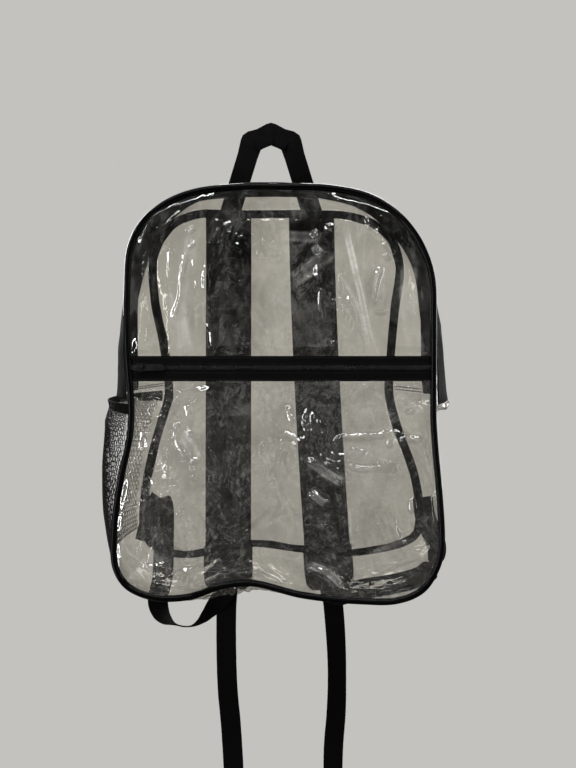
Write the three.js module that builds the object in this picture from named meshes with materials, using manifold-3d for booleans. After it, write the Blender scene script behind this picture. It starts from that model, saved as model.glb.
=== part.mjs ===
// A clear backpack of soft vinyl panels with black piping, a zipped front pocket, a mesh side pocket,
// padded shoulder straps and a webbing haul loop. It hangs by the haul loop, empty.
// Millimetres, +Z up, front towards -Y. The origin is the inside top of the haul loop.

import * as THREE from "three";
import { mergeVertices } from "three/addons/utils/BufferGeometryUtils.js";
import Module from "manifold-3d";

const wasm = await Module();
wasm.setup();

// Body
const bodyWidth = 306;
const bodyHeight = 414;
const bodyDepth = 130;
const bodyCentreX = 10;
const backTopZ = -83;
const frontDrop = 12.5;
const sheetThickness = 1;
const frontPipingRadius = 3.3;
const backPipingRadius = 2.6;
const seamGap = 0.35;

// Main zip, in the gusset
const mainBandWidth = 66;
const mainTapeWidth = 14;
const mainChainWidth = 6;
const mainZipSetback = 10;

// Front pocket zip
const pocketZipDrop = 170;
const pocketTapeWidth = 8;
const pocketLowerTapeWidth = 10;
const pocketChainWidth = 5;
const chainThickness = 2.4;
const tapeThickness = 1.2;
const pocketRoom = 9;
const pocketZipCells = 8;

// Mesh side pocket
const meshPocketOut = 31;
const meshBindingThickness = 2;

// Webbing and shoulder straps
const webbingWidth = 25;
const webbingThickness = 1.6;
const haulLoopSpread = 51;
const haulLoopShoulder = 23.5;
const haulLoopShoulderZ = 15.5;
const strapWidth = 57;
const strapThickness = 5;
const strapSpacing = 104;
const strapsCentreX = -2;
const strapLean = 23.5;
const strapLeanCurve = 1.6;
const strapRise = 25;
const strapStandoff = 19;
const strapEndZ = -546;
const strapEndRise = 32;
const strapTabLength = 22;
const tailEndZ = -815;

// Strap adjusters
const lockWidth = 36;
const lockHeight = 26;
const lockThickness = 3.2;
const lockBar = 3.2;
const lockSlotClearance = 1.5;

// Zip sliders and pulls
const sliderLength = 11;
const sliderWidth = 8.5;
const sliderHeight = 2.4;
const sliderSeat = 0.7;
const crownLength = 8;
const crownWidth = 2.4;
const crownHeight = 4.2;
const crownBar = 1.4;
const crownChamfer = 1;
const crownSunk = 0.2;
const pullLength = 25;
const pullWidth = 6.6;
const pullThickness = 1.4;
const pullClearance = 0.5;
const mainSliderUp = 31;

const stationsPerRow = 2;
const leastRowStep = 0.2;
const halfWidth = bodyWidth / 2;
const frontTopZ = backTopZ - frontDrop;

// The seams of the front and back panels, clockwise from the top middle as seen from the front.
// x is a share of half the body width from its centre, down is a share of the body height,
// and bulge is how far the gusset stands out half way back, as a share of the depth.
const outlineRows = [
  { front: { x: 0.018, down: 0 }, back: { x: -0.034, down: 0 }, bulge: 0.125 },
  { front: { x: 0.34, down: 0.003 }, back: { x: 0.294, down: 0 }, bulge: 0.11 },
  { front: { x: 0.588, down: 0.022 }, back: { x: 0.556, down: 0.006 }, bulge: 0.05 },
  { front: { x: 0.765, down: 0.06 }, back: { x: 0.765, down: 0.031 }, bulge: -0.02 },
  { front: { x: 0.889, down: 0.11 }, back: { x: 0.895, down: 0.072 }, bulge: -0.04 },
  { front: { x: 0.971, down: 0.167 }, back: { x: 0.958, down: 0.121 }, bulge: 0.01 },
  { front: { x: 1.012, down: 0.221 }, back: { x: 0.978, down: 0.179 }, bulge: 0.07 },
  { front: { x: 1.021, down: 0.349 }, back: { x: 0.935, down: 0.304 }, bulge: 0.2 },
  { front: { x: 1.02, down: 0.53 }, back: { x: 0.893, down: 0.525 }, bulge: 0.285 },
  { front: { x: 1.021, down: 0.562 }, back: { x: 0.908, down: 0.565 }, bulge: 0.13 },
  { front: { x: 1.035, down: 0.64 }, back: { x: 0.975, down: 0.65 }, bulge: 0.09 },
  { front: { x: 1.059, down: 0.74 }, back: { x: 1.092, down: 0.77 }, bulge: 0.08 },
  { front: { x: 1.073, down: 0.865 }, back: { x: 1.138, down: 0.899 }, bulge: 0.08 },
  { front: { x: 1.042, down: 0.92 }, back: { x: 1.098, down: 0.953 }, bulge: 0.1 },
  { front: { x: 0.948, down: 0.973 }, back: { x: 0.987, down: 0.979 }, bulge: 0.12 },
  { front: { x: 0.789, down: 0.999 }, back: { x: 0.784, down: 0.998 }, bulge: 0.13 },
  { front: { x: 0.523, down: 1 }, back: { x: 0.523, down: 1.008 }, bulge: 0.14 },
  { front: { x: 0.163, down: 0.986 }, back: { x: 0.163, down: 0.996 }, bulge: 0.14 },
  { front: { x: -0.17, down: 0.957 }, back: { x: -0.196, down: 0.98 }, bulge: 0.14 },
  { front: { x: -0.359, down: 0.964 }, back: { x: -0.425, down: 0.99 }, bulge: 0.14 },
  { front: { x: -0.588, down: 0.991 }, back: { x: -0.686, down: 1.012 }, bulge: 0.14 },
  { front: { x: -0.817, down: 0.991 }, back: { x: -0.882, down: 1.007 }, bulge: 0.13 },
  { front: { x: -0.98, down: 0.964 }, back: { x: -1.033, down: 0.979 }, bulge: 0.12 },
  { front: { x: -1.056, down: 0.919 }, back: { x: -1.092, down: 0.93 }, bulge: 0.1 },
  { front: { x: -1.064, down: 0.82 }, back: { x: -1.088, down: 0.833 }, bulge: 0.08 },
  { front: { x: -1.023, down: 0.707 }, back: { x: -1.039, down: 0.729 }, bulge: 0.08 },
  { front: { x: -0.964, down: 0.603 }, back: { x: -0.951, down: 0.609 }, bulge: 0.09 },
  { front: { x: -0.954, down: 0.552 }, back: { x: -0.905, down: 0.555 }, bulge: 0.12 },
  { front: { x: -0.956, down: 0.515 }, back: { x: -0.897, down: 0.512 }, bulge: 0.26 },
  { front: { x: -0.98, down: 0.385 }, back: { x: -0.941, down: 0.386 }, bulge: 0.205 },
  { front: { x: -0.982, down: 0.252 }, back: { x: -1.01, down: 0.258 }, bulge: 0.11 },
  { front: { x: -0.958, down: 0.145 }, back: { x: -1.022, down: 0.142 }, bulge: -0.05 },
  { front: { x: -0.876, down: 0.086 }, back: { x: -0.961, down: 0.079 }, bulge: -0.055 },
  { front: { x: -0.727, down: 0.04 }, back: { x: -0.824, down: 0.024 }, bulge: -0.02 },
  { front: { x: -0.542, down: 0.013 }, back: { x: -0.627, down: 0 }, bulge: 0.08 },
  { front: { x: -0.281, down: 0.001 }, back: { x: -0.359, down: 0.001 }, bulge: 0.12 },
];
const rowCount = outlineRows.length;
const zipEndRight = 8;
const zipEndLeft = 28;
const leftAnchorRow = 23;
const rightAnchorRow = 12;

// Dents of the vinyl. x and down are shares of the panel's half width and height from its middle,
// wide and tall are the dent's radii as shares of the same, and depth is a share of the body depth,
// positive towards the inside of the bag.
const frontDents = [
  { x: -0.45, down: 0.1, wide: 0.28, tall: 0.9, depth: -0.06 },
  { x: 0.05, down: -0.2, wide: 0.3, tall: 0.7, depth: 0.05 },
  { x: 0.55, down: 0.1, wide: 0.25, tall: 0.8, depth: -0.07 },
];
const pocketDents = [
  { x: -0.6, down: -0.2, wide: 0.28, tall: 0.6, depth: -0.07 },
  { x: -0.15, down: 0.35, wide: 0.3, tall: 0.4, depth: -0.05 },
  { x: 0.3, down: -0.3, wide: 0.35, tall: 0.35, depth: -0.08 },
  { x: 0.65, down: 0.35, wide: 0.3, tall: 0.45, depth: -0.06 },
];
const backDents = [
  { x: -0.7, down: -0.35, wide: 0.3, tall: 0.4, depth: -0.06 },
  { x: 0.1, down: 0.1, wide: 0.4, tall: 0.6, depth: -0.05 },
  { x: 0.75, down: 0.3, wide: 0.3, tall: 0.4, depth: -0.07 },
];

const group = new THREE.Group();

const materials = {
  vinyl: new THREE.MeshStandardMaterial({
    color: 0xd9d8d0,
    roughness: 0.12,
    transparent: true,
    opacity: 0.35,
  }),
  piping: new THREE.MeshStandardMaterial({ color: 0x0b0b0b, roughness: 0.3 }),
  tape: new THREE.MeshStandardMaterial({ color: 0x0d0d0d, roughness: 0.8 }),
  chain: new THREE.MeshStandardMaterial({ color: 0x0a0a0a, roughness: 0.45 }),
  mesh: new THREE.MeshStandardMaterial({ color: 0x121212, roughness: 0.7 }),
  webbing: new THREE.MeshStandardMaterial({ color: 0x080808, roughness: 0.75 }),
  strap: new THREE.MeshStandardMaterial({ color: 0x0f0f0f, roughness: 0.85 }),
  plastic: new THREE.MeshStandardMaterial({ color: 0x0c0c0c, roughness: 0.4 }),
  metal: new THREE.MeshStandardMaterial({ color: 0x101010, roughness: 0.35, metalness: 0.6 }),
};

// Turns a geometry's faces round if they point inwards.
function facingOut(geometry) {
  const p = geometry.getAttribute("position");
  const index = geometry.index.array;
  const [a, b, c] = [new THREE.Vector3(), new THREE.Vector3(), new THREE.Vector3()];
  let volume = 0;
  for (let i = 0; i < index.length; i += 3) {
    a.fromBufferAttribute(p, index[i]);
    b.fromBufferAttribute(p, index[i + 1]);
    c.fromBufferAttribute(p, index[i + 2]);
    volume += a.dot(b.cross(c));
  }
  if (volume < 0) {
    for (let i = 0; i < index.length; i += 3) {
      [index[i + 1], index[i + 2]] = [index[i + 2], index[i + 1]];
    }
  }
  geometry.computeVertexNormals();
  return geometry;
}

function geometryOf(points, triangles) {
  const geometry = new THREE.BufferGeometry().setFromPoints(points);
  geometry.setIndex(triangles.flat());
  return facingOut(geometry);
}

// Joins rings of equal length. An open loft gets flat ends, a closed one meets itself.
function loft(rings, closed = false) {
  const count = rings[0].length;
  const triangles = [];
  const spans = closed ? rings.length : rings.length - 1;
  for (let i = 0; i < spans; i++) {
    const here = i * count;
    const next = ((i + 1) % rings.length) * count;
    for (let j = 0; j < count; j++) {
      const k = (j + 1) % count;
      triangles.push([here + j, here + k, next + k], [here + j, next + k, next + j]);
    }
  }
  if (!closed) {
    const last = (rings.length - 1) * count;
    for (let j = 1; j < count - 1; j++) {
      triangles.push([0, j + 1, j], [last, last + j, last + j + 1]);
    }
  }
  return geometryOf(rings.flat(), triangles);
}

// A wall of even thickness on a grid of points.
function sheet(grid, thickness) {
  const rows = grid.length;
  const columns = grid[0].length;
  const at = (i, j) => grid[Math.min(Math.max(i, 0), rows - 1)][Math.min(Math.max(j, 0), columns - 1)];
  const faces = [[], []];
  for (let i = 0; i < rows; i++) {
    for (let j = 0; j < columns; j++) {
      const along = at(i + 1, j).clone().sub(at(i - 1, j));
      const across = at(i, j + 1).clone().sub(at(i, j - 1));
      const normal = along.cross(across).normalize().multiplyScalar(thickness / 2);
      faces[0].push(grid[i][j].clone().add(normal));
      faces[1].push(grid[i][j].clone().sub(normal));
    }
  }
  const triangles = [];
  const back = rows * columns;
  const id = (i, j) => i * columns + j;
  for (let i = 0; i < rows - 1; i++) {
    for (let j = 0; j < columns - 1; j++) {
      const [a, b, c, d] = [id(i, j), id(i + 1, j), id(i + 1, j + 1), id(i, j + 1)];
      triangles.push([a, b, c], [a, c, d], [back + a, back + c, back + b], [back + a, back + d, back + c]);
    }
  }
  const rim = [];
  for (let j = 0; j < columns - 1; j++) rim.push(id(0, j));
  for (let i = 0; i < rows - 1; i++) rim.push(id(i, columns - 1));
  for (let j = columns - 1; j > 0; j--) rim.push(id(rows - 1, j));
  for (let i = rows - 1; i > 0; i--) rim.push(id(i, 0));
  rim.forEach((a, k) => {
    const b = rim[(k + 1) % rim.length];
    triangles.push([a, b, back + b], [a, back + b, back + a]);
  });
  return geometryOf([...faces[0], ...faces[1]], triangles);
}

// A panel inside a seam line: rings that shrink to its middle, with dents that fade out at the seam.
const ringShares = [0, 0.13, 0.34, 0.6, 0.84];
function panel(boundary, dents, thickness, lift = () => 0) {
  const box = new THREE.Box3().setFromPoints(boundary);
  const middle = box.getCenter(new THREE.Vector3());
  const half = box.getSize(new THREE.Vector3()).multiplyScalar(0.5);
  const dentAt = (p) =>
    dents.reduce((sum, dent) => {
      const u = ((p.x - middle.x) / half.x - dent.x) / dent.wide;
      const v = ((middle.z - p.z) / half.z - dent.down) / dent.tall;
      return sum + dent.depth * bodyDepth * Math.exp(-(u * u + v * v));
    }, 0);
  const sunk = (p, share) => {
    const fade = Math.min(1, share / 0.5);
    const point = p.clone();
    point.y += (dentAt(point) + lift(share)) * fade * (2 - fade);
    return point;
  };
  const count = boundary.length;
  const surface = [];
  ringShares.forEach((share) => {
    boundary.forEach((p) => surface.push(sunk(p.clone().lerp(middle, share), share)));
  });
  surface.push(sunk(middle, 1));
  const total = surface.length;
  const offset = new THREE.Vector3(0, thickness / 2, 0);
  const near = surface.map((p) => p.clone().sub(offset));
  const far = surface.map((p) => p.clone().add(offset));
  const triangles = [];
  const bothSides = (a, b, c) => triangles.push([a, b, c], [total + a, total + c, total + b]);
  for (let ring = 0; ring < ringShares.length - 1; ring++) {
    for (let j = 0; j < count; j++) {
      const k = (j + 1) % count;
      const [outer, inner] = [ring * count, (ring + 1) * count];
      bothSides(outer + j, outer + k, inner + k);
      bothSides(outer + j, inner + k, inner + j);
    }
  }
  const lastRing = (ringShares.length - 1) * count;
  for (let j = 0; j < count; j++) {
    const k = (j + 1) % count;
    bothSides(lastRing + j, lastRing + k, total - 1);
    triangles.push([j, total + k, k], [j, total + j, total + k]);
  }
  return geometryOf([...near, ...far], triangles);
}

// A flat strip along sections of centre, width direction, width and thickness.
function ribbon(sections) {
  const rings = sections.map((section, i) => {
    const before = sections[Math.max(i - 1, 0)].centre;
    const after = sections[Math.min(i + 1, sections.length - 1)].centre;
    const tangent = after.clone().sub(before).normalize();
    const across = section.across.clone().normalize();
    const through = tangent.clone().cross(across).normalize().multiplyScalar(section.thickness / 2);
    const side = across.multiplyScalar(section.width / 2);
    return [
      section.centre.clone().add(side).add(through),
      section.centre.clone().add(side).sub(through),
      section.centre.clone().sub(side).sub(through),
      section.centre.clone().sub(side).add(through),
    ];
  });
  return loft(rings);
}

// A flat plate with windows, centred on its own plane. Outlines run anticlockwise.
function plate(outline, windows, thickness) {
  const vectors = (points) => points.map(([x, y]) => new THREE.Vector2(x, y));
  const shape = new THREE.Shape(vectors(outline));
  shape.holes = windows.map((points) => new THREE.Path(vectors(points)));
  const geometry = new THREE.ExtrudeGeometry(shape, { depth: thickness, bevelEnabled: false });
  return geometry.translate(0, 0, -thickness / 2);
}

const rectangle = (left, bottom, right, top) => [
  [left, bottom],
  [right, bottom],
  [right, top],
  [left, top],
];

function solidOf(geometry) {
  const bare = geometry.index ? geometry.toNonIndexed() : geometry.clone();
  bare.deleteAttribute("normal");
  bare.deleteAttribute("uv");
  const merged = mergeVertices(bare, 1e-4);
  const mesh = new wasm.Mesh({
    numProp: 3,
    vertProperties: merged.attributes.position.array,
    triVerts: new Uint32Array(merged.index.array),
  });
  return new wasm.Manifold(mesh);
}

function geometryFrom(solid) {
  const mesh = solid.getMesh();
  const geometry = new THREE.BufferGeometry();
  geometry.setAttribute("position", new THREE.BufferAttribute(new Float32Array(mesh.vertProperties), 3));
  geometry.setIndex(new THREE.BufferAttribute(new Uint32Array(mesh.triVerts), 1));
  geometry.computeVertexNormals();
  return geometry;
}

function addPiece(name, geometry, material) {
  const mesh = new THREE.Mesh(geometry, material);
  mesh.name = name;
  group.add(mesh);
  return mesh;
}

// Seam lines
function seamCurve(side, topZ, y) {
  const points = outlineRows.map(
    (row) =>
      new THREE.Vector3(bodyCentreX + row[side].x * halfWidth, y, topZ - row[side].down * bodyHeight),
  );
  return new THREE.CatmullRomCurve3(points, true, "centripetal");
}
const frontSeam = seamCurve("front", frontTopZ, -bodyDepth);
const backSeam = seamCurve("back", backTopZ, 0);

const seamPoint = (curve, row) => curve.getPoint((((row % rowCount) + rowCount) % rowCount) / rowCount);

function seamOutward(curve, row) {
  const step = 0.05;
  const along = seamPoint(curve, row + step).sub(seamPoint(curve, row - step));
  return new THREE.Vector3(-along.z, 0, along.x).normalize();
}

const stationRows = (first, last) => {
  const count = Math.round((last - first) * stationsPerRow);
  return Array.from({ length: count + 1 }, (_, i) => first + i / stationsPerRow);
};
const allRows = stationRows(0, rowCount).slice(0, -1);

function bulgeAt(row) {
  const wrapped = ((row % rowCount) + rowCount) % rowCount;
  const here = Math.floor(wrapped);
  const share = wrapped - here;
  const next = (here + 1) % rowCount;
  return (outlineRows[here].bulge * (1 - share) + outlineRows[next].bulge * share) * bodyDepth;
}

// A point of the gusset, some way back from the front seam, with room to stand off outwards.
function gussetPoint(row, back, standoff = 0) {
  const front = seamPoint(frontSeam, row);
  const rear = seamPoint(backSeam, row);
  const outward = seamOutward(frontSeam, row).add(seamOutward(backSeam, row)).normalize();
  const share = back / bodyDepth;
  const stand = bulgeAt(row) * Math.sin(Math.PI * share) + standoff;
  return front.lerp(rear, share).addScaledVector(outward, stand);
}

function gussetStrip(rows, backs, thickness, standoff = 0) {
  return sheet(
    rows.map((row) => backs.map((back) => gussetPoint(row, back, standoff))),
    thickness,
  );
}

const spread = (from, to, cells) =>
  Array.from({ length: cells + 1 }, (_, i) => from + ((to - from) * i) / cells);

const frontInset = frontPipingRadius + seamGap;
const backInset = backPipingRadius + seamGap;
const backEdge = bodyDepth - backInset;

// Piping
function pipingGeometry(curve, radius, sides = 6) {
  const rings = allRows.map((row) => {
    const centre = seamPoint(curve, row);
    const outward = seamOutward(curve, row);
    return Array.from({ length: sides }, (_, k) => {
      const angle = (2 * Math.PI * k) / sides;
      const point = centre.clone().addScaledVector(outward, radius * Math.cos(angle));
      point.y += radius * Math.sin(angle);
      return point;
    });
  });
  return loft(rings, true);
}

// Panels
const insetPoint = (curve, row, inset) =>
  seamPoint(curve, row).addScaledVector(seamOutward(curve, row), -inset);

// The row, on one side of the body, where the inset seam passes a height.
const halvings = 40;
function rowAtHeight(curve, z, inset, rightSide) {
  let [high, low] = rightSide ? [0, rowCount / 2 - 1] : [rowCount, rowCount / 2 + 1];
  for (let i = 0; i < halvings; i++) {
    const middle = (high + low) / 2;
    if (insetPoint(curve, middle, inset).z > z) high = middle;
    else low = middle;
  }
  return (high + low) / 2;
}

const pocketZipZ = frontTopZ - pocketZipDrop;
const chainTopZ = pocketZipZ - pocketTapeWidth - seamGap;
const chainBottomZ = chainTopZ - pocketChainWidth;
const lowerTapeTopZ = chainBottomZ - seamGap;
const lowerTapeBottomZ = lowerTapeTopZ - pocketLowerTapeWidth;

function partOutline(edgeZ, above, inset, y) {
  const right = rowAtHeight(frontSeam, edgeZ, inset, true);
  const left = rowAtHeight(frontSeam, edgeZ, inset, false);
  const isAbove = (row) => row < right - leastRowStep || row > left + leastRowStep;
  const isBelow = (row) => row > right + leastRowStep && row < left - leastRowStep;
  const inside = allRows.filter(above ? isAbove : isBelow);
  const fromBottom = (row) => (row + rowCount / 2) % rowCount;
  if (above) inside.sort((a, b) => fromBottom(a) - fromBottom(b));
  const [start, end] = above ? [left, right] : [right, left];
  const boundary = [start, ...inside, end].map((row) => insetPoint(frontSeam, row, inset));
  const first = boundary[0];
  const last = boundary[boundary.length - 1];
  spread(0, 1, pocketZipCells)
    .slice(1, -1)
    .forEach((share) => boundary.push(last.clone().lerp(first, share)));
  boundary.forEach((p) => { p.y = y; });
  return boundary;
}

addPiece("front_piping", pipingGeometry(frontSeam, frontPipingRadius), materials.piping);
addPiece("back_piping", pipingGeometry(backSeam, backPipingRadius), materials.piping);

addPiece(
  "front_panel",
  panel(partOutline(pocketZipZ + seamGap, true, frontInset, -bodyDepth), frontDents, sheetThickness),
  materials.vinyl,
);
const pocketPanelY = -bodyDepth - sheetThickness;
const pocketBackY = -bodyDepth + chainThickness / 2 + seamGap + sheetThickness / 2;
addPiece(
  "pocket_panel",
  panel(
    partOutline(lowerTapeBottomZ - seamGap, false, frontInset, pocketPanelY),
    pocketDents,
    sheetThickness,
  ),
  materials.vinyl,
);
addPiece(
  "pocket_backing",
  panel(
    partOutline(pocketZipZ - pocketTapeWidth, false, frontInset, pocketBackY),
    [],
    sheetThickness,
    (share) => pocketRoom * share,
  ),
  materials.vinyl,
);
addPiece(
  "back_panel",
  panel(allRows.map((row) => insetPoint(backSeam, row, backInset)), backDents, sheetThickness),
  materials.vinyl,
);

// Gusset: over the top a narrow clear lip, black bands either side of the zip and a clear rear strip,
// and one clear wall below the zip's ends
const lowerGussetCells = 5;
const endGap = (row, towards) => {
  const step = seamPoint(frontSeam, row).distanceTo(seamPoint(frontSeam, row + towards));
  return (towards * (seamGap + sheetThickness / 2)) / step;
};
const zipRows = stationRows(zipEndLeft, zipEndRight + rowCount);
const lowerRows = stationRows(zipEndRight, zipEndLeft);
lowerRows[0] += endGap(zipEndRight, 1);
lowerRows[lowerRows.length - 1] += endGap(zipEndLeft, -1);
const chainStart = mainZipSetback + mainBandWidth + seamGap;
const chainEnd = chainStart + mainChainWidth;
const rearBandStart = chainEnd + seamGap;
const rearBandEnd = rearBandStart + mainTapeWidth;
const clear = { thickness: sheetThickness, material: materials.vinyl };
const tape = { thickness: tapeThickness, material: materials.tape };
const chain = { thickness: chainThickness, material: materials.chain };
const zipStrips = [
  { name: "gusset_front_lip", from: frontInset, to: mainZipSetback - seamGap, cells: 1, made: clear },
  { name: "main_zip_band_front", from: mainZipSetback, to: chainStart - seamGap, cells: 3, made: tape },
  { name: "main_zip_chain", from: chainStart, to: chainEnd, cells: 1, made: chain },
  { name: "main_zip_tape_rear", from: rearBandStart, to: rearBandEnd, cells: 1, made: tape },
  { name: "gusset_rear_strip", from: rearBandEnd + seamGap, to: backEdge, cells: 2, made: clear },
];
zipStrips.forEach(({ name, from, to, cells, made }) => {
  addPiece(name, gussetStrip(zipRows, spread(from, to, cells), made.thickness), made.material);
});
addPiece(
  "lower_gusset",
  gussetStrip(lowerRows, spread(frontInset, backEdge, lowerGussetCells), sheetThickness),
  materials.vinyl,
);

// Front pocket zip, between the two sides of the front piping
function pocketZipStrip(topZ, bottomZ, y, thickness) {
  const corners = [topZ, bottomZ].map((z) => {
    const right = insetPoint(frontSeam, rowAtHeight(frontSeam, z, frontInset, true), frontInset);
    const left = insetPoint(frontSeam, rowAtHeight(frontSeam, z, frontInset, false), frontInset);
    return spread(0, 1, pocketZipCells).map((share) => {
      const point = left.clone().lerp(right, share);
      point.y = y;
      return point;
    });
  });
  return sheet(corners, thickness);
}
addPiece(
  "pocket_zip_tape_upper",
  pocketZipStrip(pocketZipZ, chainTopZ + seamGap, -bodyDepth, tapeThickness),
  materials.tape,
);
addPiece(
  "pocket_zip_chain",
  pocketZipStrip(chainTopZ, chainBottomZ, -bodyDepth, chainThickness),
  materials.chain,
);
addPiece(
  "pocket_zip_tape_lower",
  pocketZipStrip(lowerTapeTopZ, lowerTapeBottomZ, pocketPanelY, tapeThickness),
  materials.tape,
);

// Mesh pocket on the side, open at its top, and the binding round its mouth.
// row counts along the outline's rows, and out is a share of how far the pocket stands off the gusset.
const meshProfile = [
  { row: 28, out: 0.3 },
  { row: 27, out: 0.8 },
  { row: 26, out: 1 },
  { row: 25, out: 0.76 },
  { row: 24, out: 0.45 },
  { row: 23, out: 0 },
];
function meshOutAt(row) {
  const below = meshProfile.findIndex((part) => part.row <= row);
  const [high, low] = [meshProfile[Math.max(below - 1, 0)], meshProfile[below]];
  const share = high === low ? 0 : (row - low.row) / (high.row - low.row);
  return low.out + (high.out - low.out) * share;
}
const meshSeamGap = sheetThickness + seamGap;
const meshCells = 8;
const meshBellySquareness = 0.7;
const meshBacks = spread(frontInset + meshSeamGap, backEdge - meshSeamGap, meshCells);
function meshWall(rows, thickness) {
  const off = (sheetThickness + thickness) / 2 + seamGap;
  const grid = rows.map((row) =>
    meshBacks.map((back, i) => {
      const belly = Math.sin((Math.PI * i) / meshCells) ** meshBellySquareness;
      return gussetPoint(row, back, off + meshPocketOut * meshOutAt(row) * belly);
    }),
  );
  return sheet(grid, thickness);
}
const mouthRow = 27.75;
const bindingMiddleRow = 27.5;
const bindingFootRow = 27;
const meshFootRow = 23;
const meshTopRow = bindingFootRow + endGap(bindingFootRow, -1) / 2;
addPiece(
  "mesh_pocket_binding",
  meshWall([mouthRow, bindingMiddleRow, bindingFootRow], meshBindingThickness),
  materials.webbing,
);
const meshRows = stationRows(meshFootRow, bindingFootRow - 1 / stationsPerRow).reverse();
addPiece("mesh_pocket", meshWall([meshTopRow, ...meshRows], sheetThickness), materials.mesh);

// Webbing that is sewn on behind the back seam lies this far back.
const seamBackY = backInset + webbingThickness / 2;

// Haul loop: one strip of webbing, flat to the front, that bends at two shoulders and over the hook.
// layers counts thicknesses of webbing behind its feet. At the peak it comes forward to the hook.
const webbingHalf = webbingWidth / 2;
const loopFootZ = backTopZ - backPipingRadius;
const peakWidth = webbingWidth * 1.08;
function loopSections() {
  const foot = new THREE.Vector2(haulLoopSpread, loopFootZ);
  const shoulder = new THREE.Vector2(haulLoopShoulder, haulLoopShoulderZ - webbingHalf);
  const peak = new THREE.Vector2(0, webbingHalf);
  const legDirection = shoulder.clone().sub(foot).normalize();
  const topDirection = peak.clone().sub(shoulder).normalize();
  const legNormal = new THREE.Vector2(legDirection.y, -legDirection.x);
  const topNormal = new THREE.Vector2(topDirection.y, -topDirection.x);
  const mitre = legNormal.clone().add(topNormal).normalize();
  const mitreWidth = webbingWidth / mitre.dot(legNormal);
  const legAt = (share) => foot.clone().lerp(shoulder, share);
  const topAt = (share) => shoulder.clone().lerp(peak, share);
  const side = [
    { at: foot, across: legNormal, width: webbingWidth, layers: 0 },
    { at: legAt(0.35), across: legNormal, width: webbingWidth, layers: 0.25 },
    { at: legAt(0.8), across: legNormal, width: webbingWidth, layers: -0.75 },
    { at: shoulder, across: mitre, width: mitreWidth, layers: -1.625 },
    { at: topAt(0.45), across: topNormal, width: webbingWidth, layers: -1.125 },
  ];
  const peakLayers = -seamBackY / webbingThickness;
  const section = (part, mirror) => ({
    centre: new THREE.Vector3(mirror * part.at.x, seamBackY + webbingThickness * part.layers, part.at.y),
    across: new THREE.Vector3(part.across.x, 0, mirror * part.across.y),
    width: part.width,
    thickness: webbingThickness,
  });
  const right = side.map((part) => section(part, 1));
  const left = side.map((part) => section(part, -1)).reverse();
  const upright = new THREE.Vector2(0, 1);
  const middle = section({ at: peak, across: upright, width: peakWidth, layers: peakLayers }, 1);
  return orientAcross([...right, middle, ...left]);
}
addPiece("haul_loop", ribbon(loopSections()), materials.webbing);

// Keeps the width direction of each section on the same side as the one before it.
function orientAcross(sections) {
  for (let i = 1; i < sections.length; i++) {
    if (sections[i].across.dot(sections[i - 1].across) < 0) sections[i].across.negate();
  }
  return sections;
}

// The strap adjusters lie behind the straps' ends, held by a short tab of webbing
const strapEndY = strapStandoff - 1;
const barSteps = 4;
const barReach = Math.hypot(lockThickness, lockBar) / 2 + seamGap;
const webReach = barReach / Math.cos(Math.PI / barSteps / 2) + webbingThickness / 2;
const tabY = strapEndY + strapThickness / 2 + seamGap + webbingThickness / 2;
const lockY = tabY + webReach;
const lockTopZ = strapEndZ + strapEndRise;
const topBarZ = lockTopZ - lockBar / 2;
const lowerBarZ = lockTopZ - lockHeight + lockBar / 2;

// Webbing that turns round a bar, from one angle about it to another.
function roundBar(x, barZ, from, to) {
  return spread(from, to, barSteps).map((angle) => ({
    centre: new THREE.Vector3(x, lockY + webReach * Math.cos(angle), barZ + webReach * Math.sin(angle)),
    across: new THREE.Vector3(1, 0, 0),
    width: webbingWidth,
    thickness: webbingThickness,
  }));
}

function tabSections(x) {
  const flat = (y, up) => ({
    centre: new THREE.Vector3(x, y, topBarZ + up),
    across: new THREE.Vector3(1, 0, 0),
    width: webbingWidth,
    thickness: webbingThickness,
  });
  const outerY = tabY + webbingThickness + seamGap;
  return [
    flat(tabY, strapTabLength),
    flat(tabY, lockBar),
    ...roundBar(x, topBarZ, Math.PI, 2 * Math.PI),
    flat(outerY, strapTabLength / 2),
    flat(outerY, strapTabLength),
  ];
}

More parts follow.
